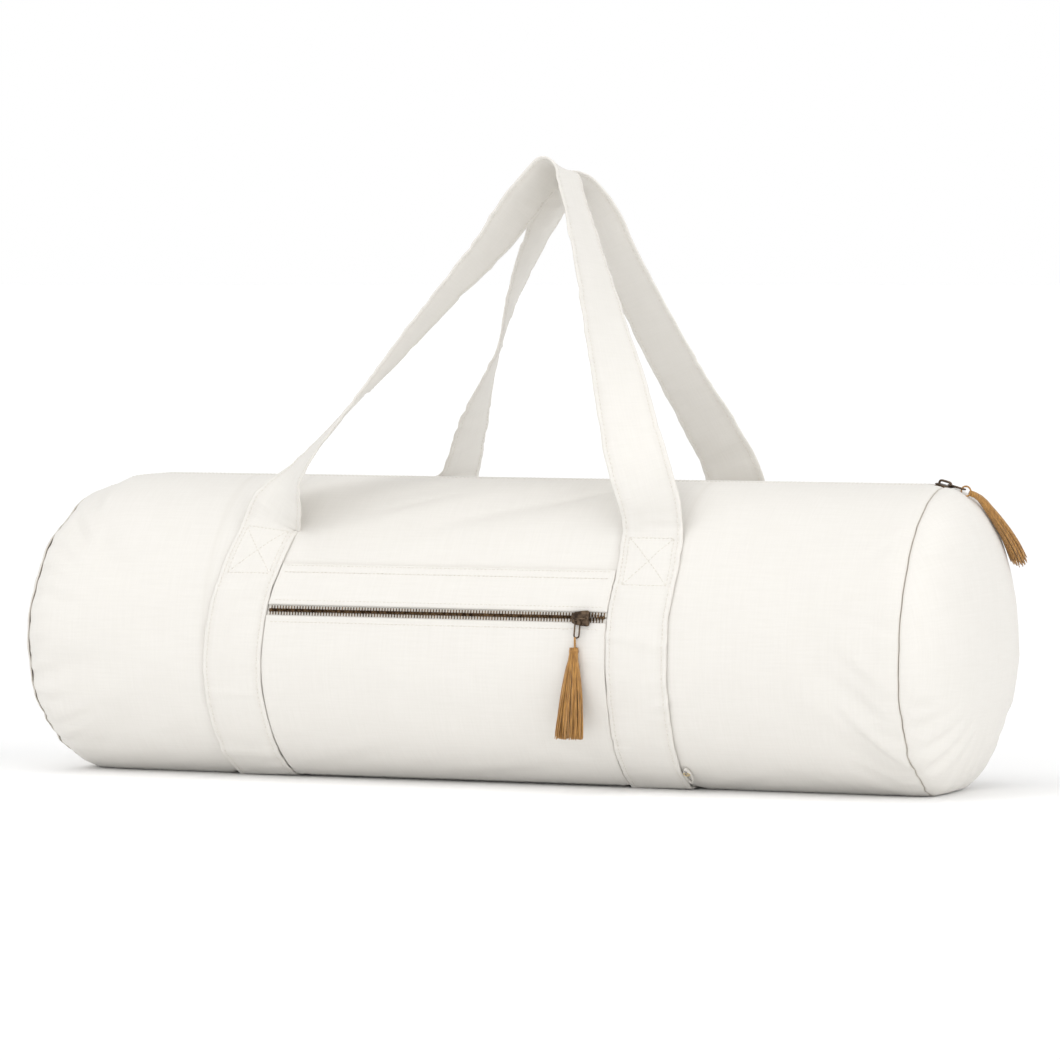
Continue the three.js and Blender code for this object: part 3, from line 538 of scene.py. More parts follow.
# body wrap
def makeWrap():
    x = edgeSteps(-halfLength, halfLength, 2.9, [0, 0.3, 0.7, 1.3, 2.4, 4])
    turn = edgeSteps(-slotTurn, slotTurn, 1.95, [0, 0.25, 0.6, 1.2])
    gx, gt = np.meshgrid(x, turn, indexing="ij")
    edge = np.minimum(halfLength - abs(gx), 1.4) / 1.4
    slotEdge = np.clip((slotTurn - abs(gt)) / 0.6, 0, 1)
    lift = -0.55 * (1 - edge) ** 2 - 0.5 * (1 - slotEdge) ** 2
    outer = skin(gx, gt, lift, True)
    inner = skin(gx, gt, np.full(gx.shape, -body["cloth"]) - 0.2 * (1 - edge), True)
    uv = np.stack([gx, np.radians(gt) * halfDepth], -1)
    # painted shade: a dark line along both end seams, and a faint painted shadow beside each strap edge
    seamShade = np.exp(-(halfLength - abs(gx)) / 0.5) * 0.7
    beside = np.minimum(abs(abs(gx - straps["left"]) - 25), abs(abs(gx - straps["right"] - 4) - 25))
    shade = np.clip(seamShade + 0.08 * np.exp(-(beside / 2.5) ** 2), 0, 1)
    return plate("canvas_body", outer, inner, uv, canvas, shade)


wrap = settle(makeWrap(), "body_wrap")
print("body wrap made")

# rounded end panels
endPanels = {
    "left": {"side": -1, "swell": 11, "node": "end_panel_left", "folds": tableOf("y z long wide deep slant ridge",
        (-60, 150, 40, 8, 1.2, 30, 0.5),
        (40, 60, 44, 9, 1.4, -24, 0.5),
        (-70, 60, 30, 6, 1.4, -36, 0.5),
    )},
    "right": {"side": 1, "swell": 42, "node": "end_panel_right", "folds": tableOf("y z long wide deep slant ridge",
        (-86, 40, 30, 5, 2.2, 34, 0.7),
        (-66, 28, 30, 5, 2.0, 44, 0.7),
        (-98, 58, 22, 4.5, 1.6, 22, 0.6),
        (-44, 22, 24, 5, 1.4, 52, 0.6),
        (-82, 182, 20, 3.5, 1.4, -4, 0.7),
        (-88, 192, 15, 3.2, 1.1, 10, 0.7),
        (-104, 72, 14, 4, 1.5, 16, 0.6),
        (60, 60, 40, 9, 1.2, -30, 0.5),
    )},
}


def makeEndPanel(name, info):
    side, swell = info["side"], info["swell"]
    puckers = scatterPuckers(176, 9, 3, (0.3, 1.3), (8, 26), (3, 5.5))
    count = 220
    turn = np.linspace(-180, 180, count, endpoint=False)
    step = np.concatenate([[1, 0.99997, 0.9998, 0.9992, 0.9975, 0.993, 0.986], np.linspace(0.976, 0.02, 62)])
    gr, gt = np.meshgrid(step, turn, indexing="ij")

    def panelPoint(shrink, lift):
        rim = bodyPoint(np.full(gt.shape, side * halfLength), gt)
        lean = rim[..., 0] - side * halfLength
        slack = body["domeSlack"] * np.clip((90 - abs(gt)) / 70, 0, 1) * gr
        bulge = (swell + lift) * (1 - slack) * np.sqrt(np.maximum(0, 1 - gr ** body["domeFull"]))
        r = gr * shrink
        y = rim[..., 1] * r
        z = body["panelMiddle"] + (rim[..., 2] - body["panelMiddle"]) * r
        inset = (1 - gr) * halfDepth
        press = pressOf(info["folds"], y, z, "y", "z") + 0.7 * puckerDepth(puckers, gt, inset)
        press = press * np.clip(inset / 3, 0, 1)
        roll = 0.6 * np.clip(1 - np.hypot(inset, bulge) / 1.6, 0, 1) ** 2
        x = side * (halfLength + body["seam"] + bulge - press * 1.2) + lean * gr**2
        out = np.stack([x, y, z], -1)
        away = unit(out - np.array([0, 0, body["panelMiddle"]])) * np.array([0, 1, 1])
        return out - away * roll[..., None]

    outer = panelPoint(1, 0)
    inner = panelPoint(1 - 2 * body["cloth"] / body["depth"], -body["cloth"])
    rows = len(step)
    points = np.concatenate([outer.reshape(-1, 3), inner.reshape(-1, 3), outer[-1:].mean(1), inner[-1:].mean(1)])
    faces = gridQuads(rows, count, wrapColumns=True).tolist()
    offset = rows * count
    faces += gridQuads(rows, count, offset, wrapColumns=True)[:, ::-1].tolist()
    last = (rows - 1) * count
    for j in range(count):
        k = (j + 1) % count
        faces.append([last + j, 2 * offset, last + k])
        faces.append([offset + last + k, 2 * offset + 1, offset + last + j])
        faces.append([j, k, offset + k, offset + j])
    if volumeSign(points, faces) < 0:
        faces = [face[::-1] for face in faces]
    arc = np.cumsum(np.linalg.norm(np.diff(outer[::-1], axis=0, prepend=outer[-1:]), axis=-1), axis=0)[::-1]
    spoke = unit(outer[..., 1:] - np.array([0, body["panelMiddle"]]))
    flat = (spoke * arc[..., None]).reshape(-1, 2)
    uv = np.concatenate([flat, flat, [[0, 0], [0, 0]]])
    # painted shade along the panel's rim, where it meets the wrap in the seam
    rim = np.exp(-(arc[:1] - arc).ravel() / 0.6) * 0.7
    near = np.concatenate([rim, rim, [0, 0]])
    made = makeObject(name, points, faces, canvas, uv, near)
    settle(made, info["node"])
    return made


makeEndPanel("canvas_end_left", endPanels["left"])
makeEndPanel("canvas_end_right", endPanels["right"])
print("end panels made")

# straps that run round the body and carry on as handles
frontHandle = tableOf("x y z heading tip wide",
    (-155, -82, 218, -20, 0, 50),
    (-142, -82, 241, -50, 0, 48),
    (-101, -72, 292, -68, 0, 46),
    (-79, -66, 317, -80, 0, 46),
    (-42, -55, 362, -92, 0, 46),
    (-18, -48, 390, -96, 2, 48),
    (5, -38, 419, -101, 4, 50),
    (20, -32, 441, -104, 8, 50),
    (39, -27, 465, -104, 12, 50),
    (52, -25, 478, -98, 15, 50),
    (61, -24, 474, -93, 10, 50),
    (66, -24, 459, -90, 4, 50),
    (72, -25, 441, -90, 0, 50),
    (95, -38, 375, -104, 0, 50),
    (118, -55, 314, -125, 0, 49),
    (132, -69, 276, -146, 0, 47),
    (147, -82, 241, -171, 0, 48),
    (154, -83, 220, -178, 0, 50),
)
backHandle = tableOf("x y z heading tip wide",
    (-114, 99, 198, -144, 30, 50),
    (-96, 101, 217, -121, 16, 49),
    (-81, 96, 235, -104, 5, 48),
    (-71, 88, 253, -98, 1, 48),
    (-62, 78, 273, -96, 0, 48),
    (-52, 68, 294, -86, 0, 48),
    (-28, 55, 340, -68, 0, 46),
    (-11, 45, 378, -78, 0, 48),
    (6, 37, 412, -88, 0, 49),
    (24, 31, 442, -92, 6, 50),
    (41, 28, 464, -88, 14, 50),
    (53, 27, 464, -58, 16, 50),
    (64, 28, 448, -34, 4, 50),
    (79, 31, 415, -26, 0, 50),
    (103, 44, 362, -24, 0, 50),
    (128, 57, 310, -18, 0, 50),
    (141, 66, 284, -13, 0, 50),
    (160, 83, 236, -4, 0, 50),
    (160, 95, 203, -1, 0, 50),
)
strapRuns = {
    "front": {"side": 1, "columns": ("frontLeft", "frontRight"), "handle": frontHandle, "top": 199,
              "node": "strap_front"},
    "back": {"side": -1, "columns": ("backLeft", "backRight"), "handle": backHandle, "top": 178,
             "node": "strap_back"},
}
acrossSteps = np.concatenate([[-1, -0.985, -0.95, -0.9], np.linspace(-0.82, 0.82, 11), [0.9, 0.95, 0.985, 1]])


def strapCentre(column, height):
    base = straps["left"] if column.endswith("Left") else straps["right"]
    return base + lookUp(drift, "height", column, height)


def strapLine(side, column, top):
    # Rows of a strap lying on the body, from under the bag up to where it is let go.
    low = math.degrees(math.asin(0.3 / halfDepth))
    high = turnAt(top)
    turn = np.linspace(low, high, int((high - low) / 1.4))
    flip = side if column.endswith("Left") else -side

    def centreAt(angle):
        return strapCentre(column, bodyPoint(strapCentre(column, 0), side * angle)[..., 2])
    lean = (centreAt(turn + 2) - centreAt(turn - 2)) / (math.radians(4) * halfDepth)
    slant = np.arctan(lean) * np.clip((turn - 80) / 30, 0, 1) * (side < 0)
    lift = straps["lift"] + 1.6 * abs(np.sin(slant)) + straps["thick"] / 2
    away = flip * acrossSteps[None] * straps["width"] / 2
    x = centreAt(turn)[:, None] + away * np.cos(slant)[:, None]
    angle = side * (turn[:, None] - np.degrees(away * np.sin(slant)[:, None] / halfDepth))
    return skin(x, angle, np.broadcast_to(lift[:, None], x.shape))


def smoothCurve(values, count):
    # Centripetal Catmull-Rom through rows of values; the first three columns are the place.
    values = np.asarray(values, float)
    ends = np.vstack([2 * values[0] - values[1], values, 2 * values[-1] - values[-2]])
    gaps = np.sqrt(np.linalg.norm(np.diff(ends[:, :3], axis=0), axis=1))
    knots = np.concatenate([[0], np.cumsum(gaps)])
    rows = []
    for i in range(1, len(ends) - 2):
        t0, t1, t2, t3 = knots[i - 1:i + 3]
        p0, p1, p2, p3 = ends[i - 1:i + 3]
        for t in np.linspace(t1, t2, count, endpoint=False):
            a1 = (t1 - t) / (t1 - t0) * p0 + (t - t0) / (t1 - t0) * p1
            a2 = (t2 - t) / (t2 - t1) * p1 + (t - t1) / (t2 - t1) * p2
            a3 = (t3 - t) / (t3 - t2) * p2 + (t - t2) / (t3 - t2) * p3
            b1 = (t2 - t) / (t2 - t0) * a1 + (t - t0) / (t2 - t0) * a2
            b2 = (t3 - t) / (t3 - t1) * a2 + (t - t1) / (t3 - t1) * a3
            rows.append((t2 - t) / (t2 - t1) * b1 + (t - t1) / (t2 - t1) * b2)
    rows.append(ends[-2])
    return np.array(rows)


def ribbonOf(run):
    # Middle surface of a whole strap as rows of points across it.
    middleColumn = len(acrossSteps) // 2
    up = strapLine(run["side"], run["columns"][0], run["top"])
    down = strapLine(run["side"], run["columns"][1], run["top"])[::-1]

    def endRow(row, near):
        width = unit(row[-1] - row[0])
        heading = math.degrees(math.atan2(width[1], width[0]))
        heading += 360 * round((near - heading) / 360)
        return [*row[middleColumn], heading, math.degrees(math.asin(width[2])), 50]
    table = [endRow(up[-1], run["handle"][0]["heading"])]
    table += [[row["x"], row["y"], row["z"], row["heading"], row["tip"], row["wide"]] for row in run["handle"]]
    table.append(endRow(down[0], run["handle"][-1]["heading"]))
    rows = smoothCurve(table, 10)[1:-1]
    centre, heading, tip, wide = rows[:, :3], np.radians(rows[:, 3]), np.radians(rows[:, 4]), rows[:, 5]
    tangent = unit(np.gradient(centre, axis=0))
    width = np.stack([np.cos(heading) * np.cos(tip), np.sin(heading) * np.cos(tip), np.sin(tip)], -1)
    width = unit(width - tangent * (width * tangent).sum(-1, keepdims=True))
    handle = centre[:, None] + width[:, None] * acrossSteps[None, :, None] * wide[:, None, None] / 2
    ribbon = np.concatenate([up, handle, down])
    startHandle, endHandle = len(up), len(up) + len(handle)
    for _ in range(14):
        for joint in (startHandle, endHandle):
            part = slice(joint - 5, joint + 6)
            around = ribbon[joint - 6:joint + 5] + ribbon[joint - 4:joint + 7]
            ribbon[part] = ribbon[part] * 0.5 + around * 0.25
    return ribbon, startHandle, endHandle


def makeStrap(name, run):
    ribbon, startHandle, endHandle = ribbonOf(run)
    rows = len(ribbon)
    along = np.gradient(ribbon, axis=0)
    across = np.gradient(ribbon, axis=1)
    normal = unit(np.cross(across, along))
    gap = np.linalg.norm(np.diff(ribbon[:, len(acrossSteps) // 2], axis=0), axis=1)
    s = np.concatenate([[0], np.cumsum(gap)])
    k = acrossSteps[None]
    held = np.ones(rows)
    held[startHandle + 6:endHandle - 6] = 0
    held = np.convolve(np.pad(held, 12, mode="edge"), np.ones(25) / 25, mode="valid")[:, None]
    # the free handle curls a little along its length, and the sewn edges pucker
    curl = 1.2 * np.sin(s / 83 + run["side"]) + 0.8 * np.sin(s / 37)
    relief = (curl[:, None] * (1 - k**2)) * (1 - held)
    pull = np.zeros((rows, k.shape[1]))
    for _ in range(int(s[-1] / 4.4)):
        place, edge = random.uniform(0, s[-1]), random.choice([-1, 1])
        size, depth = random.uniform(1.6, 3.8), random.normal(0, 0.5)
        reach = random.uniform(0.15, 0.7)
        slant = random.normal(0, 5)
        spot = s[:, None] - place - slant * (1 - k * edge)
        pull += depth * np.exp(-(spot / size) ** 2) * np.exp(-((1 - k * edge) / reach) ** 2)
    for _ in range(int(s[-1] / 15)):
        place, size = random.uniform(0, s[-1]), random.uniform(1.8, 5)
        slant, depth = random.normal(0, 5), random.uniform(-0.35, 0.95)
        pull += depth * np.exp(-((s[:, None] - place - slant * k) / size) ** 2)
    relief = relief + np.clip(pull, -0.35 * held - 1.0 * (1 - held), 1.2)
    sway = sum(np.sin(s / size + at) for size, at in ((4.1, 0.3), (6.7, 2.1), (11.3, 4.0))) * 0.14
    ribbon = ribbon + unit(across) * (sway[:, None] * np.clip(abs(k) - 0.6, 0, 1) / 0.4 * np.sign(k))[..., None]
    groove = 0.32 * np.exp(-((abs(k) - 0.85) / 0.035) ** 2)
    rim = 0.14 + 0.86 * np.sqrt(np.clip(1 - ((abs(k) - 0.93) / 0.07).clip(0, 1) ** 2, 0, 1))
    half = straps["thick"] / 2 * rim - groove
    middle = ribbon + normal * relief[..., None]
    outer = middle + normal * half[..., None]
    inner = middle - normal * half[..., None]
    uv = np.stack(np.broadcast_arrays(k * straps["width"] / 2, s[:, None]), -1)
    # painted shade in the stitch grooves and along both edges of the strap
    shade = np.broadcast_to(0.1 * np.exp(-((abs(k) - 0.85) / 0.05) ** 2), (rows, k.shape[1])) + 0.12 * (abs(k) > 0.98)
    made = plate(name, outer, inner, uv, strapCloth, shade)
    settle(made, run["node"])
    print(name, "is", round(s[-1]), "mm long")
    return {"outer": outer, "inner": inner, "normal": normal, "s": s, "handle": (s[startHandle], s[endHandle])}


strapFront = makeStrap("strap_front_cloth", strapRuns["front"])
strapBack = makeStrap("strap_back_cloth", strapRuns["back"])
print("straps made")


# front pocket: panel, zip and band
pocket = {
    "low": 24, "edge": 130.1, "bandEdge": 137.9, "bandTop": 170, "thick": 1.4, "bulge": 3, "zip": 134, "tape": 0.8,
    "span": 280,
}
zipLift = straps["lift"] + pocket["tape"] + body["seam"]


def pocketX(turn, k):
    height = bodyPoint(0.0, turn)[..., 2]
    left = strapCentre("frontLeft", height) + straps["width"] / 2 + 0.6
    right = strapCentre("frontRight", height) - straps["width"] / 2 - 0.2
    return left + (right - left) * k


def panelLift(turn, k):
    base = straps["lift"] + (zipLift - straps["lift"]) * np.clip((turn - 60) / 28, 0, 1)
    rise = np.clip((turn - pocket["low"]) / (turnAt(pocket["edge"]) - pocket["low"]), 0, 1)
    return base + pocket["bulge"] * np.sin(np.pi * rise) ** 2 * np.sin(np.pi * k) ** 2


def bandLift(turn, k):
    return straps["lift"] + (zipLift - straps["lift"]) * np.clip((118 - turn) / 5, 0, 1) + 0 * k


pocketFolds = tableOf("k turn long wide deep slant ridge",
    (60, 40, 40, 8, 0.9, 24, 0.5),
    (130, 70, 60, 12, 0.8, -10, 0.5),
    (240, 52, 36, 8, 1.0, -28, 0.5),
    (18, 84, 22, 5, 0.6, 14, 0.5),
    (262, 88, 22, 5, 0.7, -18, 0.5),
    (190, 34, 44, 7, 0.8, 12, 0.5),
)


def pocketPlate(name, low, high, liftAt, thick, finish, node, hems, relief=True):
    arc = math.radians(1) * halfDepth
    turn = edgeSteps(low, high, 1.3, [0, 0.08, 0.2, 0.45, 0.8])
    span = pocket["span"]
    k = edgeSteps(0, span, 3, [0, 0.15, 0.4, 0.9, 1.6]) / span
    gt, gk = np.meshgrid(turn, k, indexing="ij")
    edge = np.minimum(np.minimum(gt - low, high - gt) * arc, np.minimum(gk, 1 - gk) * span)
    rim = 0.15 + 0.85 * np.sqrt(np.clip(1 - (1 - edge / 0.9).clip(0, 1) ** 2, 0, 1))
    lift = liftAt(gt, gk)
    over = np.zeros(gt.shape)
    for hem in hems:
        away = abs(gt - hem["turn"]) * arc
        over = over + hem["raise"] * np.clip((hem["reach"] - away) / 1.5, 0, 1)
        over = over - 0.25 * np.exp(-((away - hem["stitch"]) / 0.9) ** 2)
    if relief:
        room = np.clip(np.minimum(gt - low, high - gt) / 5, 0, 1) * np.clip(np.minimum(gk, 1 - gk) * 16, 0, 1)
        over = over - np.minimum(pressOf(pocketFolds, gk * span, gt, "k", "turn", arc) * room, 0.9)
        over = over + 0.16 * np.sin(gk * 190 + 3 * np.sin(gt)) * np.exp(-np.minimum(gt - low, high - gt) * arc / 6)
    x = pocketX(gt, gk)
    outer = skin(x, gt, lift + thick * rim + over * rim)
    inner = skin(x, gt, lift + np.minimum(over, 0) * rim)
    uv = np.stack([gk * span, gt * arc], -1)
    # painted shade along all four edges of the pocket piece
    shade = 0.14 * np.exp(-(edge / 1.2) ** 2)
    made = plate(name, outer, inner, uv, finish, shade)
    return settle(made, node)


edgeTurn, bandTurn, topTurn = turnAt(pocket["edge"]), turnAt(pocket["bandEdge"]), turnAt(pocket["bandTop"])
panel = pocketPlate("pocket_front_cloth", pocket["low"], edgeTurn, panelLift, pocket["thick"], canvas,
                    "pocket_panel", [{"turn": edgeTurn, "raise": 0.35, "reach": 6.2, "stitch": 4.2}])
band = pocketPlate("pocket_band_cloth", bandTurn, topTurn, bandLift, pocket["thick"], canvas, "pocket_band", [
    {"turn": bandTurn, "raise": 0.3, "reach": 5, "stitch": 3.2},
    {"turn": topTurn, "raise": 0.3, "reach": 7, "stitch": 1.8},
], relief=False)


def flatLift(turn, k):
    return straps["lift"] + 0 * turn * k


for tape, below, above in (("pocket_tape_lower", -18, -0.3), ("pocket_tape_upper", 0.3, 15)):
    pocketPlate(tape + "_cloth", turnAt(pocket["zip"] + below), turnAt(pocket["zip"] + above), flatLift,
                pocket["tape"], tapeCloth, tape, [], relief=False)
print("pocket made")

# tapes of the long zip along the top
tapeLift = -body["cloth"] - 2 * body["seam"] - 0.9


def topTape(name, low, high, node):
    x = np.linspace(3 - halfLength, halfLength - 3, 240)
    offset = np.array([low, low + 0.25, low + 0.8, (low + high) / 2, high - 0.8, high - 0.25, high])
    gx, go = np.meshgrid(x, offset, indexing="ij")
    turn = np.where(go < 0, 1, -1) * (180 - np.degrees(np.arcsin(abs(go) / halfDepth)))
    edge = np.minimum(go - low, high - go)
    rim = 0.15 + 0.85 * np.clip(edge / 0.5, 0, 1)
    outer = skin(gx, turn, tapeLift + 0 * gx)
    inner = skin(gx, turn, tapeLift - pocket["tape"] * rim)
    made = plate(name, outer, inner, np.stack([gx, go], -1), tapeCloth, 0.1 + 0 * gx)
    return settle(made, node)


topTape("main_tape_front_cloth", -13, -0.3, "main_tape_front")
topTape("main_tape_back_cloth", 0.3, 13, "main_tape_back")
print("zip tapes made")


# small repeated parts, set out on points by a node tree
def arrayTree(name):
    tree = bpy.data.node_groups.new(name, "GeometryNodeTree")
    tree.is_modifier = True
    sockets = {}
    for label, kind in (("Geometry", "Geometry"), ("Shape", "Object"), ("Finish", "Material"),
                        ("Jitter", "Float"), ("Seed", "Int")):
        sockets[label] = tree.interface.new_socket(label, in_out="INPUT", socket_type="NodeSocket" + kind).identifier
    tree.interface.new_socket("Geometry", in_out="OUTPUT", socket_type="NodeSocketGeometry")
    source = tree.nodes.new("NodeGroupInput")
    turn = addNode(tree, "GeometryNodeInputNamedAttribute", {"data_type": "FLOAT_VECTOR"}, {"Name": "turn"})
    size = addNode(tree, "GeometryNodeInputNamedAttribute", {"data_type": "FLOAT_VECTOR"}, {"Name": "stretch"})
    rotation = addNode(tree, "FunctionNodeEulerToRotation", None, {"Euler": turn.outputs["Attribute"]})
    less = addNode(tree, "ShaderNodeMath", {"operation": "SUBTRACT"}, {0: 1.0, 1: source.outputs["Jitter"]})
    more = addNode(tree, "ShaderNodeMath", {"operation": "ADD"}, {0: 1.0, 1: source.outputs["Jitter"]})
    vary = addNode(tree, "FunctionNodeRandomValue", {"data_type": "FLOAT"})
    tree.links.new(less.outputs[0], vary.inputs[2])
    tree.links.new(more.outputs[0], vary.inputs[3])
    tree.links.new(source.outputs["Seed"], vary.inputs["Seed"])
    scale = addNode(tree, "ShaderNodeVectorMath", {"operation": "SCALE"}, {
        0: size.outputs["Attribute"], "Scale": vary.outputs[1]})
    shape = addNode(tree, "GeometryNodeObjectInfo", None, {"Object": source.outputs["Shape"]})
    place = addNode(tree, "GeometryNodeInstanceOnPoints", None, {
        "Points": source.outputs["Geometry"], "Instance": shape.outputs["Geometry"],
        "Rotation": rotation.outputs["Rotation"], "Scale": scale.outputs["Vector"],
    })
    real = addNode(tree, "GeometryNodeRealizeInstances", None, {"Geometry": place.outputs["Instances"]})
    paint = addNode(tree, "GeometryNodeSetMaterial", None, {
        "Geometry": real.outputs["Geometry"], "Material": source.outputs["Finish"]})
    target = tree.nodes.new("NodeGroupOutput")
    tree.links.new(paint.outputs["Geometry"], target.inputs["Geometry"])
    return tree, sockets


arrayNodes, arraySockets = arrayTree("setOutOnPoints")


def setOut(name, shape, spots, finish, jitter, seed, node):
    # One joined mesh of a small shape at every spot: place, direction, normal and size.
    places = np.array([spot[0] for spot in spots])
    turns = []
    for _, direction, normal, _ in spots:
        n = Vector(normal).normalized()
        t = Vector(direction)
        t = (t - n * t.dot(n)).normalized()
        turns.append(Matrix((t, n.cross(t), n)).transposed().to_euler("XYZ")[:])
    mesh = bpy.data.meshes.new(name + "_spots")
    mesh.from_pydata((places * 0.001).tolist(), [], [])
    for label, values in (("turn", turns), ("stretch", [spot[3] for spot in spots])):
        layer = mesh.attributes.new(label, "FLOAT_VECTOR", "POINT")
        layer.data.foreach_set("vector", np.array(values, np.float32).ravel())
    holder = bpy.data.objects.new(name + "_spots", mesh)
    bpy.context.scene.collection.objects.link(holder)
    modifier = holder.modifiers.new("array", "NODES")
    modifier.node_group = arrayNodes
    for label, value in (("Shape", shape), ("Finish", finish), ("Jitter", jitter), ("Seed", seed)):
        modifier[arraySockets[label]] = value
    graph = bpy.context.evaluated_depsgraph_get()
    solid = bpy.data.meshes.new_from_object(holder.evaluated_get(graph), depsgraph=graph)
    solid.name = name
    made = bpy.data.objects.new(name, solid)
    bpy.context.scene.collection.objects.link(made)
    bpy.data.objects.remove(holder)
    return settle(made, node)


def stitchShape():
    # A sunk bead of thread 2.5 mm long.
    rings = [(-1.3, 0.16), (-0.85, 0.38), (0, 0.46), (0.85, 0.38), (1.3, 0.16)]
    points, faces = [], []
    for x, r in rings:
        for j in range(5):
            a = j / 5 * 2 * math.pi
            points.append((x, r * math.cos(a) * 1.05, r * math.sin(a) * 0.85))
    faces = gridQuads(len(rings), 5, wrapColumns=True).tolist()
    faces.append([0, 1, 2, 3, 4])
    faces.append([24, 23, 22, 21, 20])
    if volumeSign(points, faces) < 0:
        faces = [face[::-1] for face in faces]
    return makeObject("stitch_shape", points, faces, stitchThread)


def toothShape():
    # A zip tooth: a leg clamped on the tape, its head with a small nib.
    profile = [(-3.6, 0.3), (-3.4, 0.42), (-1.5, 0.42), (-1.1, 0.56), (0.0, 0.57), (0.85, 0.5), (1.2, 0.34)]
    heights = [(-1.0, 0.86), (-0.5, 1.0), (0.35, 1.0), (0.75, 0.7)]
    points, faces = [], []
    loop = [(y, w) for y, w in profile] + [(y, -w) for y, w in reversed(profile)]
    for z, shrink in heights:
        for y, w in loop:
            points.append((w * shrink, y if shrink > 0.9 else y * 0.97, z if y > -1.3 else -1 + (z + 1) * 0.3))
    count = len(loop)
    faces = gridQuads(len(heights), count, wrapColumns=True).tolist()
    faces.append(list(range(count)))
    faces.append([3 * count + j for j in reversed(range(count))])
    if volumeSign(points, faces) < 0:
        faces = [face[::-1] for face in faces]
    return makeObject("tooth_shape", points, faces, toothMetal, smooth=False)


def stitchSpots(points, normals, pitch=3.4, sink=0.06):
    # Even stitches along a line on the cloth.
    points, normals = np.asarray(points, float), np.asarray(normals, float)
    s = np.concatenate([[0], np.cumsum(np.linalg.norm(np.diff(points, axis=0), axis=1))])
    spots = []
    for place in np.arange(pitch / 2, s[-1], pitch):
        at = np.array([np.interp(place, s, points[:, i]) for i in range(3)])
        ahead = np.array([np.interp(place + 0.6, s, points[:, i]) for i in range(3)])
        behind = np.array([np.interp(place - 0.6, s, points[:, i]) for i in range(3)])
        normal = unit(np.array([np.interp(place, s, normals[:, i]) for i in range(3)]))
        spots.append((at - normal * sink, ahead - behind, normal, (1, 1, 1)))
    return spots


def strapPoint(strap, face, s, k):
    # A point and normal on the outer or inner face of a strap.
    grid = strap[face]
    i = np.interp(s, strap["s"], np.arange(len(strap["s"])))
    j = np.interp(k, acrossSteps, np.arange(len(acrossSteps)))
    i0, j0 = np.floor(i).astype(int).clip(0, grid.shape[0] - 2), np.floor(j).astype(int).clip(0, grid.shape[1] - 2)
    a, b = (i - i0)[..., None], (j - j0)[..., None]

    def sample(g):
        return (g[i0, j0] * (1 - a) * (1 - b) + g[i0 + 1, j0] * a * (1 - b)
                + g[i0, j0 + 1] * (1 - a) * b + g[i0 + 1, j0 + 1] * a * b)
    normal = unit(sample(strap["normal"]))
    return sample(grid), normal if face == "outer" else -normal


def strapStitches(strap):
    spots = []
    total = strap["s"][-1]
    s = np.arange(2, total - 2, 1.0)
    for k in (-0.85, 0.85):
        for face in ("outer", "inner"):
            keep = s if face == "outer" else s[(s > strap["handle"][0] + 8) & (s < strap["handle"][1] - 8)]
            spots += stitchSpots(*strapPoint(strap, face, keep, np.full(keep.shape, k)))
    # a box with a cross in it where each handle leaves the body
    for place, way in ((strap["handle"][0], -1), (strap["handle"][1], 1)):
        near, far = place + way * 6, place + way * 46
        box = [(near, -0.72), (near, 0.72), (far, 0.72), (far, -0.72), (near, -0.72), (far, 0.72)]
        cross = [(near, 0.72), (far, -0.72)]
        for line in (box, cross):
            for (s0, k0), (s1, k1) in zip(line[:-1], line[1:]):
                t = np.linspace(0, 1, 30)
                spots += stitchSpots(*strapPoint(strap, "outer", s0 + (s1 - s0) * t, k0 + (k1 - k0) * t))
    return spots


stitch = stitchShape()
tooth = toothShape()
setOut("strap_front_stitches", stitch, strapStitches(strapFront), stitchThread, 0.06, 3, None)
setOut("strap_back_stitches", stitch, strapStitches(strapBack), stitchThread, 0.06, 5, None)


def turnLine(turn, lift, low=0.015, high=0.985):
    k = np.linspace(low, high, 160)
    x = pocketX(np.full(k.shape, turn), k)
    gt = np.full(k.shape, turn)
    return skin(x, gt, lift), skinNormal(x, gt)


pocketSpots = []
arcStep = 1 / (math.radians(1) * halfDepth)
panelStitch = edgeTurn - 4.2 * arcStep
pocketSpots += stitchSpots(*turnLine(panelStitch, panelLift(panelStitch, np.linspace(0.015, 0.985, 160)) + 1.5))
for away, low in ((3.2, True), (1.8, False), (6.6, False)):
    turn = bandTurn + away * arcStep if low else topTurn - away * arcStep
    lift = bandLift(turn, np.zeros(160)) + pocket["thick"] + (0.05 if away < 6 else 0.2)
    pocketSpots += stitchSpots(*turnLine(turn, lift))
setOut("pocket_stitches", stitch, pocketSpots, stitchThread, 0.06, 7, None)

hemSpots = []
for side in (-1, 1):
    x = np.linspace(8 - halfLength, halfLength - 14, 500)
    turn = np.full(x.shape, side * (slotTurn - 2.2))
    hemSpots += stitchSpots(skin(x, turn, np.zeros(x.shape), True), skinNormal(x, turn))
setOut("top_hem_stitches", stitch, hemSpots, stitchThread, 0.06, 9, None)
print("stitches made")


def zipSpots(lineAt, length, pitch, wedge=None):
    # Teeth from both tapes, each side set half a pitch along from the other.
    spots = []
    for side in (-1, 1):
        for place in np.arange(pitch * (0.5 if side < 0 else 1.0), length, pitch):
            spread = 0.0 if wedge is None else wedge(place)
            point, along, across, normal = lineAt(place)
            spots.append((point + across * side * spread, along * -side, normal, (1, 1, 1)))
    return spots


pocketLeft, pocketRight = (float(pocketX(np.array(turnAt(pocket["zip"])), k)) for k in (0.004, 0.996))
sliderAlong = 107


def pocketZip(place):
    x = pocketLeft + place
    turn = turnAt(pocket["zip"])
    point = skin(np.array(x), np.array(turn), straps["lift"] + pocket["tape"] + 1.05)
    normal = skinNormal(np.array(x), np.array(turn))
    along = np.array([1.0, 0, 0])
    return point, along, unit(np.cross(normal, along)), normal


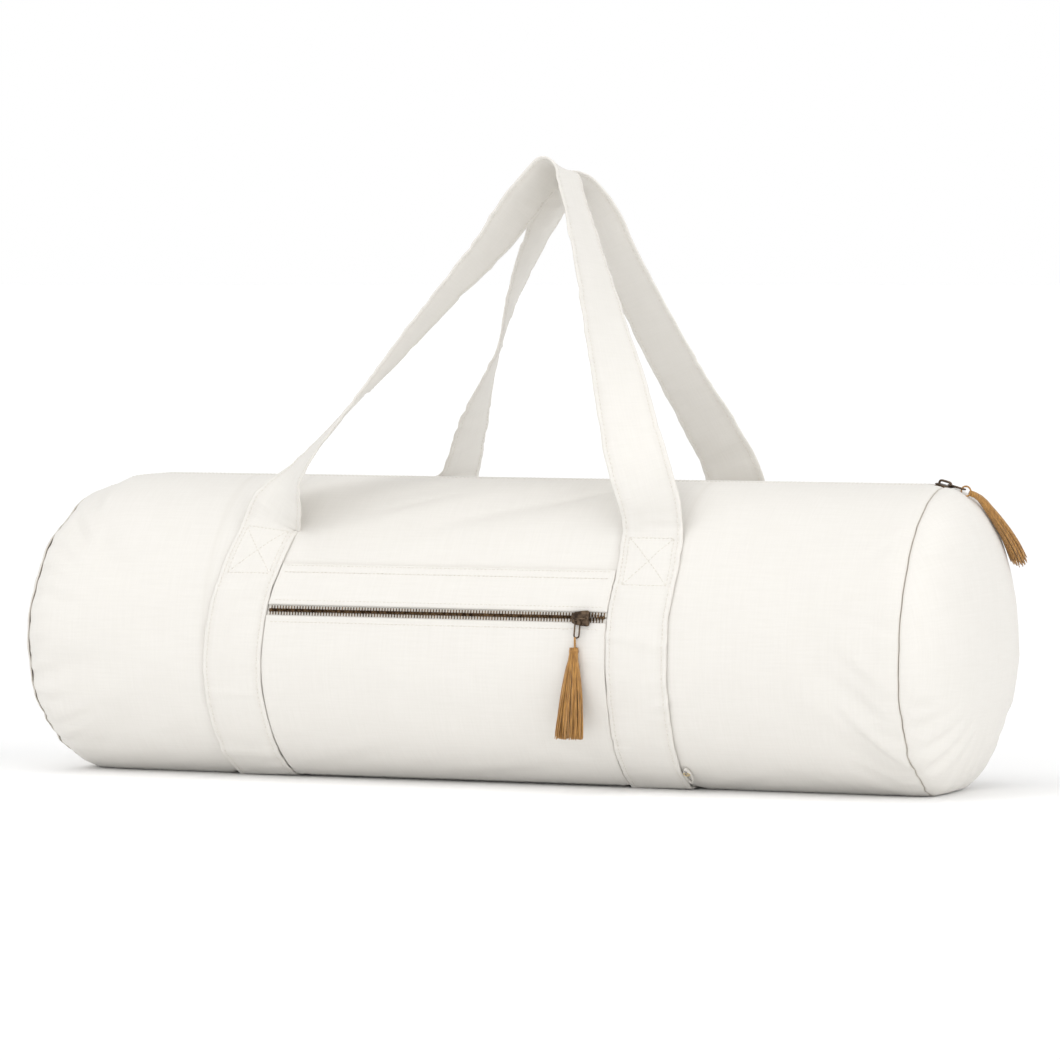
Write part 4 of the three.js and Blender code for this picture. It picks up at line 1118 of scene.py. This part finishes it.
def topZip(place):
    x = np.array(3 - halfLength + place)
    point = skin(x, np.array(180.0), tapeLift + 1.05)
    normal = skinNormal(x, np.array(180.0))
    return point, np.array([1.0, 0, 0]), unit(np.cross(normal, np.array([1.0, 0, 0]))), normal


def splay(place):
    # The teeth part a little beyond the slider.
    past = pocketLeft + place - sliderAlong
    return 1.7 * np.clip((22 - past) / 13, 0, 1) * (past > 8)


setOut("pocket_zip_teeth", tooth, zipSpots(pocketZip, pocketRight - pocketLeft, 2.4, splay), toothMetal, 0.02, 1,
       "pocket_teeth")
setOut("main_zip_teeth", tooth, zipSpots(topZip, body["length"] - 6, 2.4), toothMetal, 0.02, 2,
       "main_teeth")
for shape in (stitch, tooth):
    bpy.data.objects.remove(shape)
print("zip teeth made")

# sliders, links and tassels
puller = {"long": 16, "wide": 12, "thick": 2.4, "linkLong": 15.1, "linkWide": 5.2, "linkThick": 1.2,
          "loop": 3.8, "lean": 0.045}
tasselShape = tableOf("drop wide deep",
    (0, 3.2, 3.0), (3, 3.9, 3.6), (6, 3.3, 3.1), (16, 5.2, 4.2), (32, 7.6, 5.2), (50, 9.6, 6.0),
    (74, 11, 6.6),
)


def sliderParts():
    # Shield-shaped plates with a waist between them, a bridge over the top and a raised rim.
    outline = [(-7.2, 2.6), (-6.3, 3.9), (-3.6, 4.9), (1.5, 5.8), (5.6, 6.1), (6.8, 5.4), (7.1, 4)]
    loop = outline + [(x, -y) for x, y in reversed(outline)]
    layers = [(0, 0.9), (0.25, 1.0), (0.75, 1.0), (0.95, 0.93), (1.45, 0.93), (1.65, 1.0), (2.15, 1.0), (2.4, 0.92),
              (2.55, 0.8), (2.6, 0.5)]
    points = [(x * k, y * k, z) for z, k in layers for x, y in loop]
    count = len(loop)
    faces = gridQuads(len(layers), count, wrapColumns=True).tolist()
    faces.append(list(range(count)))
    faces.append([(len(layers) - 1) * count + j for j in reversed(range(count))])
    if volumeSign(points, faces) < 0:
        faces = [face[::-1] for face in faces]
    arch = [(-4.7, 0, 1.6), (-4.75, 0, 3.4), (-4.4, 0, 4.6), (-3.4, 0, 5.2), (0, 0, 5.35), (3.4, 0, 5.2),
            (4.4, 0, 4.6), (4.75, 0, 3.4), (4.7, 0, 1.6)]
    bridge = sweep(smoothCurve(arch, 4), 0.95, 0.62, 8, up=(0, 1, 0), phase=math.pi / 8)
    return joined([(points, faces), bridge])


def linkParts():
    # A slotted pull, a rounded bar bent into a long ring.
    half, long = puller["linkWide"] / 2 - 0.55, puller["linkLong"] - 1.1
    path = []
    for centre, start in ((-0.55 - half, 0), (-0.55 - long + half, math.pi)):
        for a in np.linspace(start, start + math.pi, 9):
            path.append((half * math.cos(a), centre + half * math.sin(a), 0.6))
    return sweep(path, 0.62, 0.6, 8, closed=True, phase=math.pi / 8)


def placed(parts, matrix, name, finish, node):
    points, faces = parts
    moved = (np.c_[points, np.ones(len(points))] @ np.array(matrix).T)[:, :3]
    if np.linalg.det(np.array(matrix)[:3, :3]) < 0:
        faces = [face[::-1] for face in faces]
    return settle(makeObject(name, moved, faces, finish), node)


chainTurn = turnAt(pocket["zip"] - 3.5)
faceY = float(skin(np.array(sliderAlong), np.array(chainTurn), zipLift + 0.2 + 2.4 + 0.5)[1])
upright = Matrix.Rotation(math.pi / 2, 4, "X")
placed(sliderParts(), Matrix.Translation((sliderAlong + 3, faceY, pocket["zip"])) @ upright,
       "pocket_slider_metal", sliderMetal, "pocket_slider")
linkTop = pocket["zip"] - 0.5
linkY = faceY - puller["thick"] - 0.5
swing = Matrix.Rotation(math.radians(5), 4, "Y")
placed(linkParts(), Matrix.Translation((sliderAlong + 1.8, linkY, linkTop)) @ swing @ upright,
       "pocket_link_metal", sliderMetal, "pocket_link")

topX = halfLength - 1.5
topTip = math.radians(15)
chainLift = tapeLift + body["seam"] + 2.4
topZ = float(skin(np.array(topX), np.array(180.0), chainLift)[2]) - 0.6
tilt = Matrix.Rotation(topTip, 4, "Y")
topPlace = Matrix.Translation((topX, 0, topZ)) @ tilt
placed(sliderParts(), topPlace, "main_slider_metal", sliderMetal, "main_slider")
onTop = Matrix.Translation((2.1, 0, puller["thick"] + 0.5))
lying = topPlace @ onTop @ Matrix.Rotation(math.pi / 2, 4, "Z")
placed(linkParts(), lying, "main_link_metal", sliderMetal, "main_link")
print("sliders made")


def tasselParts(centreAt, acrossAt, outAt, loopCentre, loopAxis, seed, girth):
    # A twisted loop, a bound neck and a skirt of separate strands.
    rng = np.random.default_rng(seed)
    parts = []
    axis = unit(np.asarray(loopAxis, float))
    first = unit(np.cross(axis, [0.31, 0.22, 0.9]))
    second = np.cross(axis, first)
    a = np.linspace(0, 2 * np.pi, 40, endpoint=False)
    for twist in (0, math.pi):
        ring = loopCentre + first * np.cos(a)[:, None] * puller["loop"] + second * np.sin(a)[:, None] * puller["loop"]
        out = unit(ring - loopCentre)
        ring = ring + (out * np.cos(a * 9 + twist)[:, None] + axis * np.sin(a * 9 + twist)[:, None]) * 0.36
        parts.append(sweep(ring, 0.46, 0.46, 6, closed=True, up=axis))
    last = tasselShape[-1]["drop"]

    def ringPoint(drop, angle, reach):
        size = girth[0] + (girth[1] - girth[0]) * drop / last
        wide = lookUp(tasselShape, "drop", "wide", drop) * size
        deep = lookUp(tasselShape, "drop", "deep", drop) * size
        return (centreAt(drop) + acrossAt(drop) * (np.cos(angle) * wide * reach)[:, None]
                + outAt(drop) * (np.sin(angle) * deep * reach)[:, None])

    turns = np.linspace(0, 2 * np.pi * 7, 170)
    drop = 2.2 + turns / (2 * np.pi) * 0.72
    binding = ringPoint(drop, turns, np.full(turns.shape, 0.9))
    parts.append(sweep(binding, 0.42, 0.42, 6, up=tuple(outAt(np.array([3.0]))[0])))
    for i in range(150):
        angle = i * 2.39996 + rng.uniform(-0.15, 0.15)
        reach = 0.94 * math.sqrt((i + 0.6) / 150)
        end = last - abs(rng.normal(0, 1.1)) - 0.2
        drop = np.linspace(0.2, end, 15)
        swing = rng.normal(0, 0.1) * (drop / last) ** 1.5
        wander = 1 + rng.normal(0, 0.05) * np.sin(drop / rng.uniform(9, 16) + rng.uniform(0, 6))
        path = ringPoint(drop, angle + swing, np.clip(reach * wander, 0, 0.97))
        parts.append(sweep(path, 0.56, 0.56, 5, up=(0.3, 0.9, 0.1), taper=np.r_[np.ones(13), 0.9, 0.6], phase=angle))
    return joined(parts)


loopZ = linkTop - puller["linkLong"] - 3.0
hangY = linkY - puller["linkThick"] / 2 - 1.2
neckZ = loopZ - puller["loop"] + 0.2
hangX = sliderAlong - 0.2


def hangCentre(drop):
    return np.stack([hangX - 0.6 - 0.036 * drop, hangY - puller["lean"] * drop, neckZ - 0.95 * drop], -1)


def constant(vector):
    return lambda drop: np.broadcast_to(np.array(vector, float), drop.shape + (3,))


hanging = tasselParts(hangCentre, constant((1, 0, 0)), constant((0, 1, 0)), np.array([hangX, hangY, loopZ]),
                      (0.9, 0.4, 0), 21, (1.0, 1.14))
placed(hanging, Matrix.Identity(4), "pocket_tassel_thread", tasselThread, "pocket_tassel")

drapedTassel = tableOf("y z off",
    (9, 223, 3.6), (20, 212, 3.8), (34, 198, 5), (48, 184, 6.6), (58, 172, 8),
)


def domeOut(y, z, off):
    reach = body["panelMiddle"] if z < body["panelMiddle"] else body["height"] - body["panelMiddle"]
    radius = min(1, math.hypot(y / halfDepth, (z - body["panelMiddle"]) / reach))
    swell = endPanels["right"]["swell"] * math.sqrt(max(0, 1 - radius ** body["domeFull"]))
    slope = unit(np.array([1, y / body["depth"] * 1.6, (z - body["panelMiddle"]) / body["height"] * 2.2]))
    return np.array([halfLength + body["seam"] + swell, y, z]) + slope * off


linkReach = 2.1 + puller["linkLong"]
topEye = np.array([topX + linkReach * math.cos(topTip) + 0.9, 0,
                   topZ + puller["thick"] + 1.1 - linkReach * math.sin(topTip) - 1.2])
neck = topEye + np.array([puller["loop"] * 0.9, 0, -puller["loop"] * 0.35])
drape = smoothCurve([neck] + [domeOut(row["y"], row["z"], row["off"]) for row in drapedTassel], 16)
drapeWay = np.concatenate([[0], np.cumsum(np.linalg.norm(np.diff(drape, axis=0), axis=1))])
drapeWay = drapeWay / drapeWay[-1] * tasselShape[-1]["drop"]


def alongDrape(drop):
    return np.stack([np.interp(drop, drapeWay, drape[:, i]) for i in range(3)], -1)


def drapeFrame(drop):
    tangent = unit(alongDrape(drop + 1.5) - alongDrape(drop - 1.5))
    out = np.broadcast_to(np.array([1, 0.3, 0.9]), tangent.shape)
    out = unit(out - tangent * (out * tangent).sum(-1, keepdims=True))
    return np.cross(tangent, out), out


draped = tasselParts(alongDrape, lambda drop: drapeFrame(drop)[0], lambda drop: drapeFrame(drop)[1], topEye,
                     (0, 1, 0), 22, (0.6, 1.0))
placed(draped, Matrix.Identity(4), "main_tassel_thread", tasselThread, "main_tassel")
print("tassels made")


# small folded tab beside the right strap
def makeTab():
    turn = 36.0
    x = float(strapCentre("frontRight", 15)) + straps["width"] / 2 + 3.5 + 0.5
    spot = skin(np.array(x), np.array(turn), 0.6)
    up = unit(skin(np.array(x), np.array(turn + 4), 0.6) - spot)
    out = unit(skin(np.array(x), np.array(turn), 2) - spot)
    side = np.cross(out, up)
    t = np.linspace(0, 2 * np.pi, 48, endpoint=False)
    ring = np.stack([9.4 * np.cos(t), 2.6 * np.sin(t) * abs(np.sin(t)) ** 0.3], -1)
    path = spot + up * ring[:, :1] + side * ring[:, 1:] + out * 1.6
    points, faces = sweep(path, 0.55, 1.5, 10, closed=True, up=out)
    uv = np.stack([points @ up, points @ out * 1.0], -1)
    tab = makeObject("side_tab_cloth", points, faces, canvas, uv, np.full(len(points), 0.12))
    settle(tab, "side_tab")
    a = np.linspace(0.35, 2 * np.pi - 0.35, 30)
    c, s = np.cos(a)[:, None], np.sin(a)[:, None]
    loop = spot + up * (3.6 + 2.6 * c) + side * (2.4 * s) + out * (3.0 + 0.5 * c)
    thread = makeObject("side_tab_thread", *sweep(loop, 0.42, 0.42, 6, up=out), goldThread)
    settle(thread, None)


makeTab()
print("side tab made")

# floor and light
studio = {"floor": 60.0, "horizon": 1.0, "overhead": 0.56, "key": 0.46, "fill": 1.05, "low": 0.58, "top": 0.76}
floorFinish, _, floorShader = nodeMaterial("studio_floor")
floorShader.inputs["Base Color"].default_value = (0.98, 0.98, 0.98, 1)
floorShader.inputs["Roughness"].default_value = 0.9
floorSize = studio["floor"] * 1000
floorCorners = [(x * floorSize, y * floorSize, -0.5) for x, y in ((-1, -1), (1, -1), (1, 1), (-1, 1))]
floor = makeObject("floor", floorCorners, [[0, 1, 2, 3]], floorFinish)
world = bpy.data.worlds.new("studio")
bpy.context.scene.world = world
world.use_nodes = True
background = world.node_tree.nodes["Background"]
skyPlace = addNode(world.node_tree, "ShaderNodeTexCoord").outputs["Generated"]
skyHeight = addNode(world.node_tree, "ShaderNodeSeparateXYZ", None, {"Vector": skyPlace}).outputs["Z"]
skyLight = addNode(world.node_tree, "ShaderNodeMapRange", {"interpolation_type": "SMOOTHSTEP"}, {
    "Value": skyHeight, "From Min": 0.14, "From Max": 0.5, "To Min": studio["horizon"], "To Max": studio["overhead"],
})
world.node_tree.links.new(skyLight.outputs["Result"], background.inputs["Strength"])
background.inputs["Color"].default_value = (1, 1, 1, 1)


def softSun(name, azimuth, elevation, strength, spread):
    data = bpy.data.lights.new(name, "SUN")
    data.energy = strength
    data.angle = math.radians(spread)
    lamp = bpy.data.objects.new(name, data)
    bpy.context.scene.collection.objects.link(lamp)
    a, e = math.radians(azimuth), math.radians(elevation)
    towards = Vector((math.sin(a) * math.cos(e), -math.cos(a) * math.cos(e), math.sin(e)))
    lamp.rotation_euler = towards.to_track_quat("Z", "Y").to_euler()
    return lamp


softSun("keyLight", -32, 42, studio["key"], 32)
softSun("fillLight", 72, 22, studio["fill"], 70)
softSun("lowLight", 8, 3, studio["low"], 40)
softSun("topLight", -20, 78, studio["top"], 50)
print("studio made")
